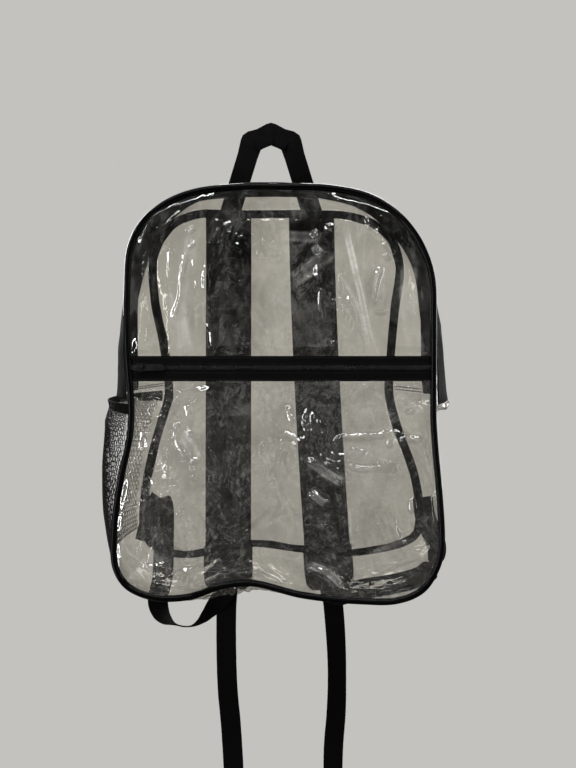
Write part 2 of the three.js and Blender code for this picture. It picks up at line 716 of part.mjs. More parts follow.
// Shoulder straps: from the top seam up, over and down behind the back panel
const strapFrontY = backInset + webbingThickness + seamGap;
const leanOf = (side) => (side > 0 ? strapLean : 0);
const strapX = (side, share) =>
  strapsCentreX + (side * strapSpacing) / 2 + leanOf(side) * share ** strapLeanCurve;
function strapSections(side) {
  const startY = strapFrontY + strapThickness / 2;
  const topZ = backTopZ + strapRise;
  const foldRadius = strapThickness;
  const drop = topZ - strapEndZ;
  const path = [
    { y: startY, z: loopFootZ, width: 1, thickness: 1 },
    { y: startY + 1, z: topZ - foldRadius * 1.8, width: 1, thickness: 1 },
    { y: startY + foldRadius * 0.5, z: topZ - foldRadius * 0.75, width: 1, thickness: 1 },
    { y: startY + foldRadius * 1.4, z: topZ - strapThickness / 2, width: 1, thickness: 1 },
    { y: startY + foldRadius * 2.3, z: topZ - foldRadius * 0.9, width: 1, thickness: 1 },
    { y: startY + foldRadius * 2.7, z: topZ - foldRadius * 2.4, width: 1, thickness: 1 },
    { y: strapStandoff + strapThickness, z: topZ - drop * 0.14, width: 1, thickness: 1 },
    { y: strapStandoff + strapThickness * 0.8, z: topZ - drop * 0.27, width: 1, thickness: 1 },
    { y: strapStandoff + strapThickness * 0.5, z: topZ - drop * 0.42, width: 1, thickness: 1 },
    { y: strapStandoff + strapThickness * 0.2, z: topZ - drop * 0.57, width: 1, thickness: 1 },
    { y: strapStandoff, z: topZ - drop * 0.72, width: 1, thickness: 1 },
    { y: strapEndY, z: topZ - drop * 0.87, width: 1, thickness: 1 },
    { y: strapEndY, z: strapEndZ + strapWidth * 0.24, width: 1, thickness: 1 },
    { y: strapEndY, z: strapEndZ + strapWidth * 0.08, width: 0.94, thickness: 0.9 },
    { y: strapEndY, z: strapEndZ, width: 0.78, thickness: 0.7 },
  ];
  const shareAt = (z) => THREE.MathUtils.clamp((topZ - z) / drop, 0, 1);
  return path.map((part) => ({
    centre: new THREE.Vector3(strapX(side, shareAt(part.z)), part.y, part.z),
    across: new THREE.Vector3(1, 0, 0),
    width: strapWidth * part.width,
    thickness: strapThickness * part.thickness,
  }));
}

// An eight-sided section with rounded edges, for a padded strap.
function paddedRibbon(sections) {
  const rings = sections.map((section, i) => {
    const before = sections[Math.max(i - 1, 0)].centre;
    const after = sections[Math.min(i + 1, sections.length - 1)].centre;
    const tangent = after.clone().sub(before).normalize();
    const through = tangent.cross(section.across).normalize();
    const edge = section.width / 2;
    const face = section.thickness / 2;
    const bevel = Math.min(section.thickness * 0.8, edge * 0.2);
    const corner = (u, v) =>
      section.centre.clone().addScaledVector(section.across, u).addScaledVector(through, v);
    return [
      corner(edge, face * 0.3),
      corner(edge - bevel, face),
      corner(-edge + bevel, face),
      corner(-edge, face * 0.3),
      corner(-edge, -face * 0.3),
      corner(-edge + bevel, -face),
      corner(edge - bevel, -face),
      corner(edge, -face * 0.3),
    ];
  });
  return loft(rings);
}

// A plate with a slot at its top for the strap and one at its bottom for the webbing.
function adjusterGeometry() {
  const slotHeight = (lockHeight - 3 * lockBar) / 2;
  const windows = [0, 1].map((k) => {
    const slotHalf = webbingWidth / 2 + lockSlotClearance * (1 - k / 2);
    const top = -lockBar - k * (slotHeight + lockBar);
    return rectangle(-slotHalf, top - slotHeight, slotHalf, top);
  });
  const outline = rectangle(-lockWidth / 2, -lockHeight, lockWidth / 2, 0);
  return plate(outline, windows, lockThickness).rotateX(Math.PI / 2);
}

// The adjuster webbing: from its anchor on the back seam up to a fold, down in a slack loop,
// up round the adjuster's lower bar, and down as the free tail.
const anchorLayer = webbingThickness + 2 * seamGap;

function adjusterSections(anchor, lockX, { rise, slack, tail }) {
  const bar = new THREE.Vector3(lockX, lockY, lowerBarZ);
  const section = (x, y, z, across) => ({
    centre: new THREE.Vector3(x, y, z),
    across: new THREE.Vector3(...across),
    width: webbingWidth,
    thickness: webbingThickness,
  });
  const start = rise.map((part) =>
    section(
      anchor.x + part.x * webbingWidth,
      seamBackY + part.layer * anchorLayer,
      anchor.z + part.up * webbingWidth,
      part.across,
    ),
  );
  const round = roundBar(bar.x, bar.z, Math.PI, 0);
  const tailTop = bar.z - lockHeight;
  const hanging = tail.map((part) =>
    section(
      bar.x + part.x * webbingWidth,
      bar.y + webReach + part.y * webbingWidth,
      tailTop + (tailEndZ - tailTop) * part.down,
      [1, part.turn, 0],
    ),
  );
  const loose = slack.map((part) =>
    section(
      anchor.x + (bar.x - anchor.x) * part.x,
      seamBackY + part.y * webbingWidth,
      anchor.z + (bar.z - anchor.z) * part.x - part.drop * webbingWidth,
      part.across,
    ),
  );
  return [...start, ...loose, ...round, ...hanging];
}

// In a rise, x and up are in webbing widths from the anchor and layer counts thicknesses of webbing.
// In a slack, x runs from the anchor (0) to the adjuster's bar (1), drop is how far the webbing hangs below
// the straight line between them and y how far back it is, both in webbing widths.
// In a tail, x and y are in webbing widths from the bar, and down runs to the tail's end.
const webbingLeft = {
  rise: [
    { x: 0.1, up: -0.7, layer: 0, across: [1, 0, -0.25] },
    { x: 0.35, up: 0.25, layer: 0, across: [1, 0, -0.32] },
    { x: 0.68, up: 1.12, layer: 0, across: [1, 0, -0.36] },
    { x: 0.82, up: 1.4, layer: 0.9, across: [1, 0, -0.36] },
    { x: 0.94, up: 1.12, layer: 1.9, across: [1, 0, -0.2] },
  ],
  slack: [
    { x: 0.235, drop: 0.35, y: 0.21, across: [1, 0, 0] },
    { x: 0.21, drop: 2.1, y: 0.37, across: [1, 0.15, 0] },
    { x: 0.15, drop: 3.3, y: 0.5, across: [1, 0.45, 0.2] },
    { x: 0.18, drop: 3.81, y: 0.58, across: [0.8, 0.9, 0.2] },
    { x: 0.25, drop: 4.02, y: 0.61, across: [0.4, 1.1, -0.1] },
    { x: 0.35, drop: 4.02, y: 0.62, across: [0, 1, -0.4] },
    { x: 0.47, drop: 3.82, y: 0.64, across: [-0.18, 1, -0.4] },
    { x: 0.58, drop: 3.46, y: 0.65, across: [-0.05, 1, -0.45] },
    { x: 0.68, drop: 2.94, y: 0.66, across: [0.25, 0.9, -0.5] },
    { x: 0.77, drop: 2.28, y: 0.67, across: [0.6, 0.7, -0.5] },
    { x: 0.87, drop: 1.5, y: 0.69, across: [1, 0.3, -0.5] },
    { x: 0.96, drop: 0.72, y: 0.71, across: [1, 0.05, -0.2] },
  ],
  tail: [
    { x: -0.12, y: 0, down: 0.02, turn: 0 },
    { x: -0.14, y: 0, down: 0.26, turn: 0.05 },
    { x: -0.06, y: -0.05, down: 0.47, turn: 0.1 },
    { x: 0.09, y: -0.1, down: 0.62, turn: 0.1 },
    { x: 0.24, y: -0.12, down: 0.86, turn: 0.05 },
    { x: 0.28, y: -0.12, down: 1, turn: 0.05 },
  ],
};
const webbingRight = {
  rise: [
    { x: 0.06, up: 0.95, layer: 0, across: [1, 0, 0.45] },
    { x: 0.2, up: 0, layer: 0.4, across: [1, 0, 0.35] },
  ],
  slack: [
    { x: -0.13, drop: 1.35, y: 0.12, across: [1, 0.05, 0.4] },
    { x: -0.185, drop: 2.2, y: 0.25, across: [0.9, 0.1, 0.6] },
    { x: -0.175, drop: 2.92, y: 0.38, across: [0.7, 0.1, 0.9] },
    { x: -0.06, drop: 3.18, y: 0.48, across: [0.45, 0, 1] },
    { x: 0.24, drop: 2.66, y: 0.56, across: [0.2, 0, 1] },
    { x: 0.52, drop: 1.96, y: 0.62, across: [0.15, 0.1, 1] },
    { x: 0.75, drop: 1.42, y: 0.68, across: [0.4, 0.3, 0.9] },
    { x: 0.9, drop: 1.12, y: 0.72, across: [0.8, 0.3, 0.6] },
    { x: 0.985, drop: 0.74, y: 0.71, across: [1, 0.05, 0.2] },
  ],
  tail: [
    { x: 0.2, y: 0, down: 0.05, turn: 0 },
    { x: 0.35, y: -0.03, down: 0.27, turn: 0.25 },
    { x: 0.37, y: -0.06, down: 0.42, turn: 0.3 },
    { x: 0.32, y: -0.08, down: 0.58, turn: 0.15 },
    { x: 0.2, y: -0.08, down: 0.73, turn: 0.1 },
    { x: 0.16, y: -0.08, down: 0.87, turn: 0.2 },
    { x: 0.15, y: -0.08, down: 1, turn: 0.2 },
  ],
};

[
  { name: "left", side: -1, row: leftAnchorRow, webbing: webbingLeft },
  { name: "right", side: 1, row: rightAnchorRow, webbing: webbingRight },
].forEach(({ name, side, row, webbing }) => {
  addPiece(`shoulder_strap_${name}`, paddedRibbon(strapSections(side)), materials.strap);
  const lockX = strapX(side, 1);
  addPiece(`strap_tab_${name}`, ribbon(tabSections(lockX)), materials.webbing);
  const lock = addPiece(`strap_adjuster_${name}`, adjusterGeometry(), materials.plastic);
  lock.position.set(lockX, lockY, lockTopZ);
  const anchor = seamPoint(backSeam, row);
  addPiece(`adjuster_webbing_${name}`, ribbon(adjusterSections(anchor, lockX, webbing)), materials.webbing);
});

// Zip sliders, with a crown that the pull's eye swings on.
// Their own frame has x along the zip, y across it and z away from the bag.
function sliderGeometry() {
  const foot = crownLength / 2;
  const inner = foot - crownBar;
  const crownSide = [
    [-foot, -crownSunk],
    [foot, -crownSunk],
    [foot, crownHeight - crownChamfer],
    [foot - crownChamfer, crownHeight],
    [crownChamfer - foot, crownHeight],
    [-foot, crownHeight - crownChamfer],
  ];
  const crown = plate(crownSide, [rectangle(-inner, 0, inner, crownHeight - crownBar)], crownWidth);
  crown.rotateX(Math.PI / 2);
  const [l, w] = [sliderLength / 2, sliderWidth / 2];
  const bodyOutline = [
    [-l, -w * 0.65],
    [-l * 0.4, -w],
    [l * 0.5, -w],
    [l, -w * 0.45],
    [l, w * 0.45],
    [l * 0.5, w],
    [-l * 0.4, w],
    [-l, w * 0.65],
  ];
  const body = plate(bodyOutline, [], sliderHeight).translate(0, 0, -sliderHeight / 2);
  return geometryFrom(solidOf(crown).add(solidOf(body)));
}

const pullAxisHeight = (crownHeight - crownBar) / 2;
function pullGeometry() {
  const eyeHalf = crownWidth / 2 + pullClearance;
  const w = pullWidth / 2;
  const bar = pullThickness / 2;
  const eyeEnd = Math.hypot(crownLength / 2, pullAxisHeight) + pullClearance * 2;
  const outline = [
    [-bar, -w],
    [pullLength * 0.75, -w],
    [pullLength - w * 0.6, -w * 0.85],
    [pullLength, -w * 0.35],
    [pullLength, w * 0.35],
    [pullLength - w * 0.6, w * 0.85],
    [pullLength * 0.75, w],
    [-bar, w],
  ];
  return plate(outline, [rectangle(bar, -eyeHalf, eyeEnd, eyeHalf)], pullThickness);
}

// Stands a frame on the zip: x along it, z away from the bag.
function sliderFrame(base, along, away) {
  const frame = new THREE.Group();
  const across = away.clone().cross(along).normalize();
  frame.quaternion.setFromRotationMatrix(new THREE.Matrix4().makeBasis(along, across, away));
  frame.position.copy(base).addScaledVector(away, chainThickness / 2 + sliderSeat + sliderHeight);
  group.add(frame);
  return frame;
}

// Front pocket zip: the slider is closed at the left end and its pull lies along the zip
const pocketChainZ = (chainTopZ + chainBottomZ) / 2;
const pocketZipLeftRow = rowAtHeight(frontSeam, pocketChainZ, frontInset, false);
const pocketZipLeft = insetPoint(frontSeam, pocketZipLeftRow, frontInset);
const pocketSliderFrame = sliderFrame(
  new THREE.Vector3(pocketZipLeft.x + sliderLength * 0.8, -bodyDepth, pocketChainZ),
  new THREE.Vector3(1, 0, 0),
  new THREE.Vector3(0, -1, 0),
);
const pocketSlider = new THREE.Mesh(sliderGeometry(), materials.metal);
pocketSlider.name = "pocket_zip_slider";
const pocketPull = new THREE.Mesh(pullGeometry(), materials.metal);
pocketPull.name = "pocket_zip_pull";
pocketPull.position.z = pullAxisHeight;
pocketSliderFrame.add(pocketSlider, pocketPull);

// Main zip: a plain closed slider at the right end, one piece with its pull
const lastRows = [zipEndRight - 1 / stationsPerRow, zipEndRight];
const [chainHighFront, chainHighRear, chainLowFront, chainLowRear] = lastRows.flatMap((row) =>
  [chainStart, chainEnd].map((back) => gussetPoint(row, back)),
);
const chainHigh = chainHighFront.clone().lerp(chainHighRear, 0.5);
const chainLow = chainLowFront.clone().lerp(chainLowRear, 0.5);
const mainAlong = chainLow.clone().sub(chainHigh).normalize();
const mainAcross = chainLowRear.clone().sub(chainLowFront);
const mainAway = mainAcross.clone().cross(mainAlong).normalize();
mainAway.multiplyScalar(Math.sign(mainAway.x));
const mainSliderFrame = sliderFrame(
  chainLow.clone().addScaledVector(mainAlong, -mainSliderUp),
  mainAlong,
  mainAway,
);
const lyingPull = pullGeometry().translate(-pullThickness, 0, pullThickness / 2);
const mainSliderSolid = solidOf(sliderGeometry()).add(solidOf(lyingPull));
const mainSlider = new THREE.Mesh(geometryFrom(mainSliderSolid), materials.metal);
mainSlider.name = "main_zip_slider";
mainSliderFrame.add(mainSlider);

export default group;
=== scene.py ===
import math

import bpy
import numpy as np
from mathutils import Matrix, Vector


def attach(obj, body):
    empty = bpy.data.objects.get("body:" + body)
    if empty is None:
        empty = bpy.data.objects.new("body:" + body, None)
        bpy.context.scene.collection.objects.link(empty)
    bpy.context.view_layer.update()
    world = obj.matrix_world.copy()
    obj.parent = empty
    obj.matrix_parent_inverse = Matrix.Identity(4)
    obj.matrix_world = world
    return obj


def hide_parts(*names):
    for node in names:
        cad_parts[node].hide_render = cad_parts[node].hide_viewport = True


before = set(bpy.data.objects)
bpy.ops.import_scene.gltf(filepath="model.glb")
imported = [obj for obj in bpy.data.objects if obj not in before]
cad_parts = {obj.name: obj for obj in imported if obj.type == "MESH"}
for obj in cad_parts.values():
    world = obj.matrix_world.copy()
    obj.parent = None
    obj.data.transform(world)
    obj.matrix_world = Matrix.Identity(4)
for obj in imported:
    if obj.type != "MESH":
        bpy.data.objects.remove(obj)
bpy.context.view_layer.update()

MM = 0.001
BAG = "bag"

# Body, as in the part
HALF_WIDTH = 0.153
HEIGHT = 0.414
DEPTH = 0.130
CENTRE_X = 0.010
BACK_TOP_Z = -0.083
FRONT_TOP_Z = -0.0955
FRONT_PIPING_RADIUS = 3.3 * MM
BACK_PIPING_RADIUS = 2.6 * MM
SHEET_TUCK = 1.2 * MM
SEAM_GAP = 0.35 * MM
FRONT_INSET = FRONT_PIPING_RADIUS + SEAM_GAP
BACK_INSET = BACK_PIPING_RADIUS + SEAM_GAP

# Gusset, distances back from the front seam
BAND_START = 10 * MM
CHAIN_START = 76.35 * MM
CHAIN_END = 82.35 * MM
TAPE_END = 96.7 * MM
ZIP_END_RIGHT = 8
ZIP_END_LEFT = 28

# Front pocket zip
POCKET_ZIP_TOP = -0.2655
CHAIN_TOP = -0.27385
CHAIN_BOTTOM = -0.27885
LOWER_TAPE_TOP = -0.2792
LOWER_TAPE_BOTTOM = -0.2892
POCKET_PANEL_Y = -0.131
POCKET_BACK_Y = -0.12795
POCKET_ROOM = 9 * MM
TOP_RIGHT_ROW = 3.6
TOP_LEFT_ROW = 32.4
BOTTOM_RIGHT_ROW = 13.4
BOTTOM_LEFT_ROW = 22.6

# Seams of the front and back panels, clockwise from the top middle as seen from the front.
# Columns: front x, front down, back x, back down, bulge. x is a share of half the body width,
# down a share of the body height, bulge a share of the depth.
OUTLINE = np.array([
    (0.018, 0, -0.034, 0, 0.125),
    (0.34, 0.003, 0.294, 0, 0.11),
    (0.588, 0.022, 0.556, 0.006, 0.05),
    (0.765, 0.06, 0.765, 0.031, -0.02),
    (0.889, 0.11, 0.895, 0.072, -0.04),
    (0.971, 0.167, 0.958, 0.121, 0.01),
    (1.012, 0.221, 0.978, 0.179, 0.07),
    (1.021, 0.349, 0.935, 0.304, 0.2),
    (1.02, 0.53, 0.893, 0.525, 0.285),
    (1.021, 0.562, 0.908, 0.565, 0.13),
    (1.035, 0.64, 0.975, 0.65, 0.09),
    (1.059, 0.74, 1.092, 0.77, 0.08),
    (1.073, 0.865, 1.138, 0.899, 0.08),
    (1.042, 0.92, 1.098, 0.953, 0.1),
    (0.948, 0.973, 0.987, 0.979, 0.12),
    (0.789, 0.999, 0.784, 0.998, 0.13),
    (0.523, 1, 0.523, 1.008, 0.14),
    (0.163, 0.986, 0.163, 0.996, 0.14),
    (-0.17, 0.957, -0.196, 0.98, 0.14),
    (-0.359, 0.964, -0.425, 0.99, 0.14),
    (-0.588, 0.991, -0.686, 1.012, 0.14),
    (-0.817, 0.991, -0.882, 1.007, 0.13),
    (-0.98, 0.964, -1.033, 0.979, 0.12),
    (-1.056, 0.919, -1.092, 0.93, 0.1),
    (-1.064, 0.82, -1.088, 0.833, 0.08),
    (-1.023, 0.707, -1.039, 0.729, 0.08),
    (-0.964, 0.603, -0.951, 0.609, 0.09),
    (-0.954, 0.552, -0.905, 0.555, 0.12),
    (-0.956, 0.515, -0.897, 0.512, 0.26),
    (-0.98, 0.385, -0.941, 0.386, 0.205),
    (-0.982, 0.252, -1.01, 0.258, 0.11),
    (-0.958, 0.145, -1.022, 0.142, -0.05),
    (-0.876, 0.086, -0.961, 0.079, -0.055),
    (-0.727, 0.04, -0.824, 0.024, -0.02),
    (-0.542, 0.013, -0.627, 0, 0.08),
    (-0.281, 0.001, -0.359, 0.001, 0.12),
])
ROWS = len(OUTLINE)

# Dents of the panels. Columns: x, down, wide, tall as shares of the panel's half sizes,
# and depth as a share of the body depth, positive towards the inside.
FRONT_DENTS = [(-0.45, 0.1, 0.28, 0.9, -0.06), (0.05, -0.2, 0.3, 0.7, 0.05), (0.55, 0.1, 0.25, 0.8, -0.07)]
POCKET_DENTS = [
    (-0.6, -0.2, 0.28, 0.6, -0.07),
    (-0.15, 0.35, 0.3, 0.4, -0.05),
    (0.3, -0.3, 0.35, 0.35, -0.08),
    (0.65, 0.35, 0.3, 0.45, -0.06),
]
BACK_DENTS = [(-0.7, -0.35, 0.3, 0.4, -0.06), (0.1, 0.1, 0.4, 0.6, -0.05), (0.75, 0.3, 0.3, 0.4, -0.07)]

# Where the photograph was taken from
CAMERA_PLACE = (0.0207, -0.722, -0.2927)

# Creases pressed into the vinyl. Columns: from x, from z, to x, to z, width in millimetres,
# and steepness as a share of what it takes to mirror a strip lamp towards the camera.
FRONT_CREASES = [
    (-77, -138, -74, -143, 4.0, 0.7),
    (-76, -152, -73, -157, 3.2, 1.15),
    (-81, -163, -86, -189, 3.0, 1.15),
    (-86, -189, -94, -226, 2.8, 1.15),
    (-71, -164, -72, -176, 2.4, 1.15),
    (-72, -200, -84, -240, 4.5, 0.5),
    (-90, -212, -92, -256, 3.5, 0.5),
    (-60, -173, -62, -184, 2.2, 1.15),
    (-62, -184, -61, -199, 2.4, 1.15),
    (-58, -210, -57, -240, 2.2, 1.15),
    (-55, -238, -53, -262, 2.2, 1.05),
    (-112, -141, -87, -121, 2.2, 1.15),
    (-108, -144, -84, -125, 2.0, 0.7),
    (100, -128, 103, -139, 2.8, 1.2),
    (103, -139, 115, -151, 2.8, 1.2),
    (115, -151, 124, -162, 2.6, 1.2),
    (58, -137, 69, -137, 3.0, 1.15),
    (46, -140, 49, -146, 3.0, 1.15),
    (49, -155, 54, -163, 3.0, 1.15),
    (51, -172, 53, -190, 2.4, 1.15),
    (54, -198, 56, -226, 2.2, 1.15),
    (64, -250, 67, -256, 2.6, 1.15),
    (78, -144, 104, -256, 2.8, 0.5),
    (86, -168, 106, -252, 2.4, 0.5),
    (107, -221, 119, -221, 2.2, 1.15),
    (117, -165, 120, -170, 2.6, 1.15),
    (-6, -150, 40, -147, 4.5, 0.35),
    (-10, -168, 46, -166, 3.5, 0.5),
    (30, -196, 58, -170, 4.0, 0.5),
    (22, -182, 48, -160, 3.2, 0.5),
    (111, -178, 104, -214, 4.0, 0.5),
    (-50, -150, -20, -158, 4.0, 0.35),
    (-46, -182, -24, -196, 3.4, 0.5),
]
POCKET_CREASES = [
    (19, -315, 24, -331, 3.0, 1.15),
    (16, -341, 34, -353, 3.4, 1.15),
    (39, -318, 40, -342, 2.6, 1.2),
    (45, -320, 47, -341, 2.6, 1.2),
    (50, -329, 52, -343, 2.6, 1.2),
    (33, -347, 41, -347, 2.4, 1.15),
    (64, -352, 78, -345, 3.1, 1.2),
    (77, -345, 113, -344, 3.1, 1.2),
    (112, -344, 134, -342, 3.1, 1.2),
    (133, -342, 154, -348, 3.1, 1.2),
    (60, -360, 80, -363, 2.9, 1.2),
    (82, -357, 96, -361, 3.3, 1.2),
    (59, -371, 79, -372, 2.9, 1.2),
    (78, -372, 111, -375, 2.9, 1.2),
    (110, -375, 129, -377, 2.9, 1.2),
    (106, -369, 126, -378, 2.9, 1.2),
    (121, -348, 123, -356, 2.5, 1.2),
    (135, -345, 137, -352, 2.7, 1.2),
    (37, -366, 73, -394, 3.6, 1.05),
    (49, -362, 81, -385, 3.2, 1.05),
    (44, -400, 58, -412, 4.0, 1.05),
    (143, -407, 143, -419, 2.8, 1.15),
    (127, -491, 129, -493, 2.8, 1.2),
    (43, -472, 75, -495, 5.0, 0.7),
    (85, -310, 101, -291, 3.6, 0.5),
    (138, -321, 146, -320, 2.4, 1.15),
    (-80, -313, -77, -326, 2.6, 1.15),
    (-91, -334, -86, -332, 2.6, 1.15),
    (-90, -337, -84, -357, 3.0, 1.05),
    (-84, -357, -67, -369, 3.0, 1.05),
    (-80, -338, -75, -345, 2.6, 1.05),
    (-117, -321, -110, -315, 2.6, 1.15),
    (-127, -446, -112, -470, 3.0, 1.05),
    (-122, -474, -100, -470, 2.8, 1.15),
    (-114, -452, -103, -486, 2.8, 1.05),
    (-76, -498, -55, -490, 2.8, 1.15),
    (-92, -482, -17, -473, 2.8, 0.7),
    (-64, -486, 6, -480, 2.6, 0.7),
    (20, -476, 96, -482, 3.0, 0.4),
    (96, -488, 152, -464, 3.4, 0.4),
    (-48, -300, -30, -350, 4.5, 0.5),
    (-30, -350, -38, -400, 4.5, 0.5),
    (8, -380, 30, -430, 5.0, 0.5),
    (96, -400, 120, -460, 4.5, 0.5),
    (120, -420, 140, -462, 4.5, 0.5),
    (-60, -430, -20, -452, 4.5, 0.5),
    (40, -430, 72, -446, 4.0, 0.7),
]
# Painted reflection: strokes of white laid into the film where it would mirror light in long streaks.
# Columns: as above, but the last is how much painted white.
FRONT_PAINTED_REFLECTIONS = [
    (79, -142, 105, -258, 3.0, 0.8),
    (68, -179, 100, -262, 1.4, 0.5),
    (-86, -188, -82, -262, 9.0, 0.42),
    (27, -188, 62, -162, 7.0, 0.32),
    (14, -142, 50, -146, 5.0, 0.28),
    (118, -166, 112, -208, 5.0, 0.3),
    (-70, -140, -76, -170, 6.0, 0.25),
    (142, -175, 149, -262, 8.0, 0.3),
]
POCKET_PAINTED_REFLECTIONS = [
    (44, -369, 76, -390, 4.6, 0.42),
    (43, -472, 75, -494, 3.6, 0.42),
    (80, -356, 126, -366, 6.0, 0.28),
    (-84, -338, -72, -362, 5.0, 0.34),
    (-78, -345, -66, -366, 1.8, 0.5),
    (44, -399, 58, -411, 4.0, 0.42),
    (85, -309, 101, -291, 2.6, 0.5),
    (-122, -462, -100, -484, 9.0, 0.28),
    (96, -470, 150, -452, 7.0, 0.22),
]

# Webbing and shoulder straps, as in the part
WEBBING_THICKNESS = 1.6 * MM
WEBBING_WIDTH = 25 * MM
SEWN_Y = BACK_INSET + WEBBING_THICKNESS / 2
LOOP_SPREAD = 51 * MM
LOOP_SHOULDER = 23.5 * MM
LOOP_SHOULDER_Z = 15.5 * MM
LOOP_FOOT_Z = BACK_TOP_Z - BACK_PIPING_RADIUS
LOOP_PEAK_WIDTH = WEBBING_WIDTH * 1.08
STRAP_X = {"left": -0.054, "right": 0.050}
STRAP_LEAN = {"left": 0, "right": 0.0235}
STRAP_LEAN_CURVE = 1.6
STRAP_TOP_Z = -0.058
STRAP_END_Z = -0.546
STRAP_WIDTH = 57 * MM
STRAP_THICKNESS = 5 * MM
STRAP_STANDOFF = 19 * MM
STRAP_END_Y = STRAP_STANDOFF - 1 * MM
TAB_LENGTH = 22 * MM
TAIL_END_Z = -0.815

# The adjusters at the straps' ends, and how webbing turns round their bars
LOCK_TOP_Z = STRAP_END_Z + 32 * MM
LOCK_HEIGHT = 26 * MM
LOCK_THICKNESS = 3.2 * MM
LOCK_BAR = 3.2 * MM
BAR_STEPS = 4
BAR_REACH = math.hypot(LOCK_THICKNESS, LOCK_BAR) / 2 + SEAM_GAP
WEB_REACH = BAR_REACH / math.cos(math.pi / BAR_STEPS / 2) + WEBBING_THICKNESS / 2
TAB_Y = STRAP_END_Y + STRAP_THICKNESS / 2 + SEAM_GAP + WEBBING_THICKNESS / 2
LOCK_Y = TAB_Y + WEB_REACH
TOP_BAR_Z = LOCK_TOP_Z - LOCK_BAR / 2
LOWER_BAR_Z = LOCK_TOP_Z - LOCK_HEIGHT + LOCK_BAR / 2
ANCHOR_ROWS = {"left": 23, "right": 12}
ANCHOR_LAYER = WEBBING_THICKNESS + 2 * SEAM_GAP

# The adjuster webbing rises from its anchor. Columns: x and up in webbing widths from the anchor,
# layers of webbing behind it, then the direction of the width.
WEBBING_RISE = {
    "left": [
        (0.1, -0.7, 0, 1, 0, -0.25),
        (0.35, 0.25, 0, 1, 0, -0.32),
        (0.68, 1.12, 0, 1, 0, -0.36),
        (0.82, 1.4, 0.9, 1, 0, -0.36),
        (0.94, 1.12, 1.9, 1, 0, -0.2),
    ],
    "right": [
        (0.06, 0.95, 0, 1, 0, 0.45),
        (0.2, 0, 0.4, 1, 0, 0.35),
    ],
}
# It hangs slack. Columns: x from the anchor (0) to the adjuster's bar (1), drop below the straight
# line between them and y how far back, both in webbing widths, then the direction of the width.
WEBBING_SLACK = {
    "left": [
        (0.235, 0.35, 0.21, 1, 0, 0),
        (0.21, 2.1, 0.37, 1, 0.15, 0),
        (0.15, 3.3, 0.5, 1, 0.45, 0.2),
        (0.18, 3.81, 0.58, 0.8, 0.9, 0.2),
        (0.25, 4.02, 0.61, 0.4, 1.1, -0.1),
        (0.35, 4.02, 0.62, 0, 1, -0.4),
        (0.47, 3.82, 0.64, -0.18, 1, -0.4),
        (0.58, 3.46, 0.65, -0.05, 1, -0.45),
        (0.68, 2.94, 0.66, 0.25, 0.9, -0.5),
        (0.77, 2.28, 0.67, 0.6, 0.7, -0.5),
        (0.87, 1.5, 0.69, 1, 0.3, -0.5),
        (0.96, 0.72, 0.71, 1, 0.05, -0.2),
    ],
    "right": [
        (-0.13, 1.35, 0.12, 1, 0.05, 0.4),
        (-0.185, 2.2, 0.25, 0.9, 0.1, 0.6),
        (-0.175, 2.92, 0.38, 0.7, 0.1, 0.9),
        (-0.06, 3.18, 0.48, 0.45, 0, 1),
        (0.24, 2.66, 0.56, 0.2, 0, 1),
        (0.52, 1.96, 0.62, 0.15, 0.1, 1),
        (0.75, 1.42, 0.68, 0.4, 0.3, 0.9),
        (0.9, 1.12, 0.72, 0.8, 0.3, 0.6),
        (0.985, 0.74, 0.71, 1, 0.05, 0.2),
    ],
}
# Its free tail. Columns: x and y in webbing widths from the bar, down to the tail's end (1), turn.
WEBBING_TAIL = {
    "left": [
        (-0.12, 0, 0.02, 0),
        (-0.14, 0, 0.26, 0.05),
        (-0.06, -0.05, 0.47, 0.1),
        (0.09, -0.1, 0.62, 0.1),
        (0.24, -0.12, 0.86, 0.05),
        (0.28, -0.12, 1, 0.05),
    ],
    "right": [
        (0.2, 0, 0.05, 0),
        (0.35, -0.03, 0.27, 0.25),
        (0.37, -0.06, 0.42, 0.3),
        (0.32, -0.08, 0.58, 0.15),
        (0.2, -0.08, 0.73, 0.1),
        (0.16, -0.08, 0.87, 0.2),
        (0.15, -0.08, 1, 0.2),
    ],
}


# Curves and surfaces


def unit(vectors):
    length = np.linalg.norm(vectors, axis=-1, keepdims=True)
    return vectors / np.maximum(length, 1e-12)


def smoothstep(x, low, high):
    t = np.clip((x - low) / (high - low), 0, 1)
    return t * t * (3 - 2 * t)


def spline(points, at, closed=False):
    """Centripetal spline through rows of points, whose first three columns are the place."""
    points = np.asarray(points, float)
    count = len(points)
    at = np.asarray(at, float)
    first = np.floor(at).astype(int)
    if closed:
        p0, p1, p2, p3 = (points[(first + k) % count] for k in (-1, 0, 1, 2))
    else:
        first = np.clip(first, 0, count - 2)
        padded = np.vstack([2 * points[0] - points[1], points, 2 * points[-1] - points[-2]])
        p0, p1, p2, p3 = (padded[first + k] for k in (0, 1, 2, 3))
    w = (at - first)[:, None]

    def gap(a, b):
        return np.maximum(np.linalg.norm((b - a)[:, :3], axis=1), 1e-7)[:, None] ** 0.5

    d0, d1, d2 = gap(p0, p1), gap(p1, p2), gap(p2, p3)
    m1 = ((p1 - p0) / d0 - (p2 - p0) / (d0 + d1) + (p2 - p1) / d1) * d1
    m2 = ((p2 - p1) / d1 - (p3 - p1) / (d1 + d2) + (p3 - p2) / d2) * d1
    square = -3 * p1 + 3 * p2 - 2 * m1 - m2
    cube = 2 * p1 - 2 * p2 + m1 + m2
    return p1 + m1 * w + square * w**2 + cube * w**3


def seam_points(x_column, top_z, y):
    x = CENTRE_X + OUTLINE[:, x_column] * HALF_WIDTH
    z = top_z - OUTLINE[:, x_column + 1] * HEIGHT
    return np.column_stack([x, np.full(ROWS, y), z])


FRONT_SEAM = seam_points(0, FRONT_TOP_Z, -DEPTH)
BACK_SEAM = seam_points(2, BACK_TOP_Z, 0)


def seam(points, rows):
    return spline(points, rows, True)


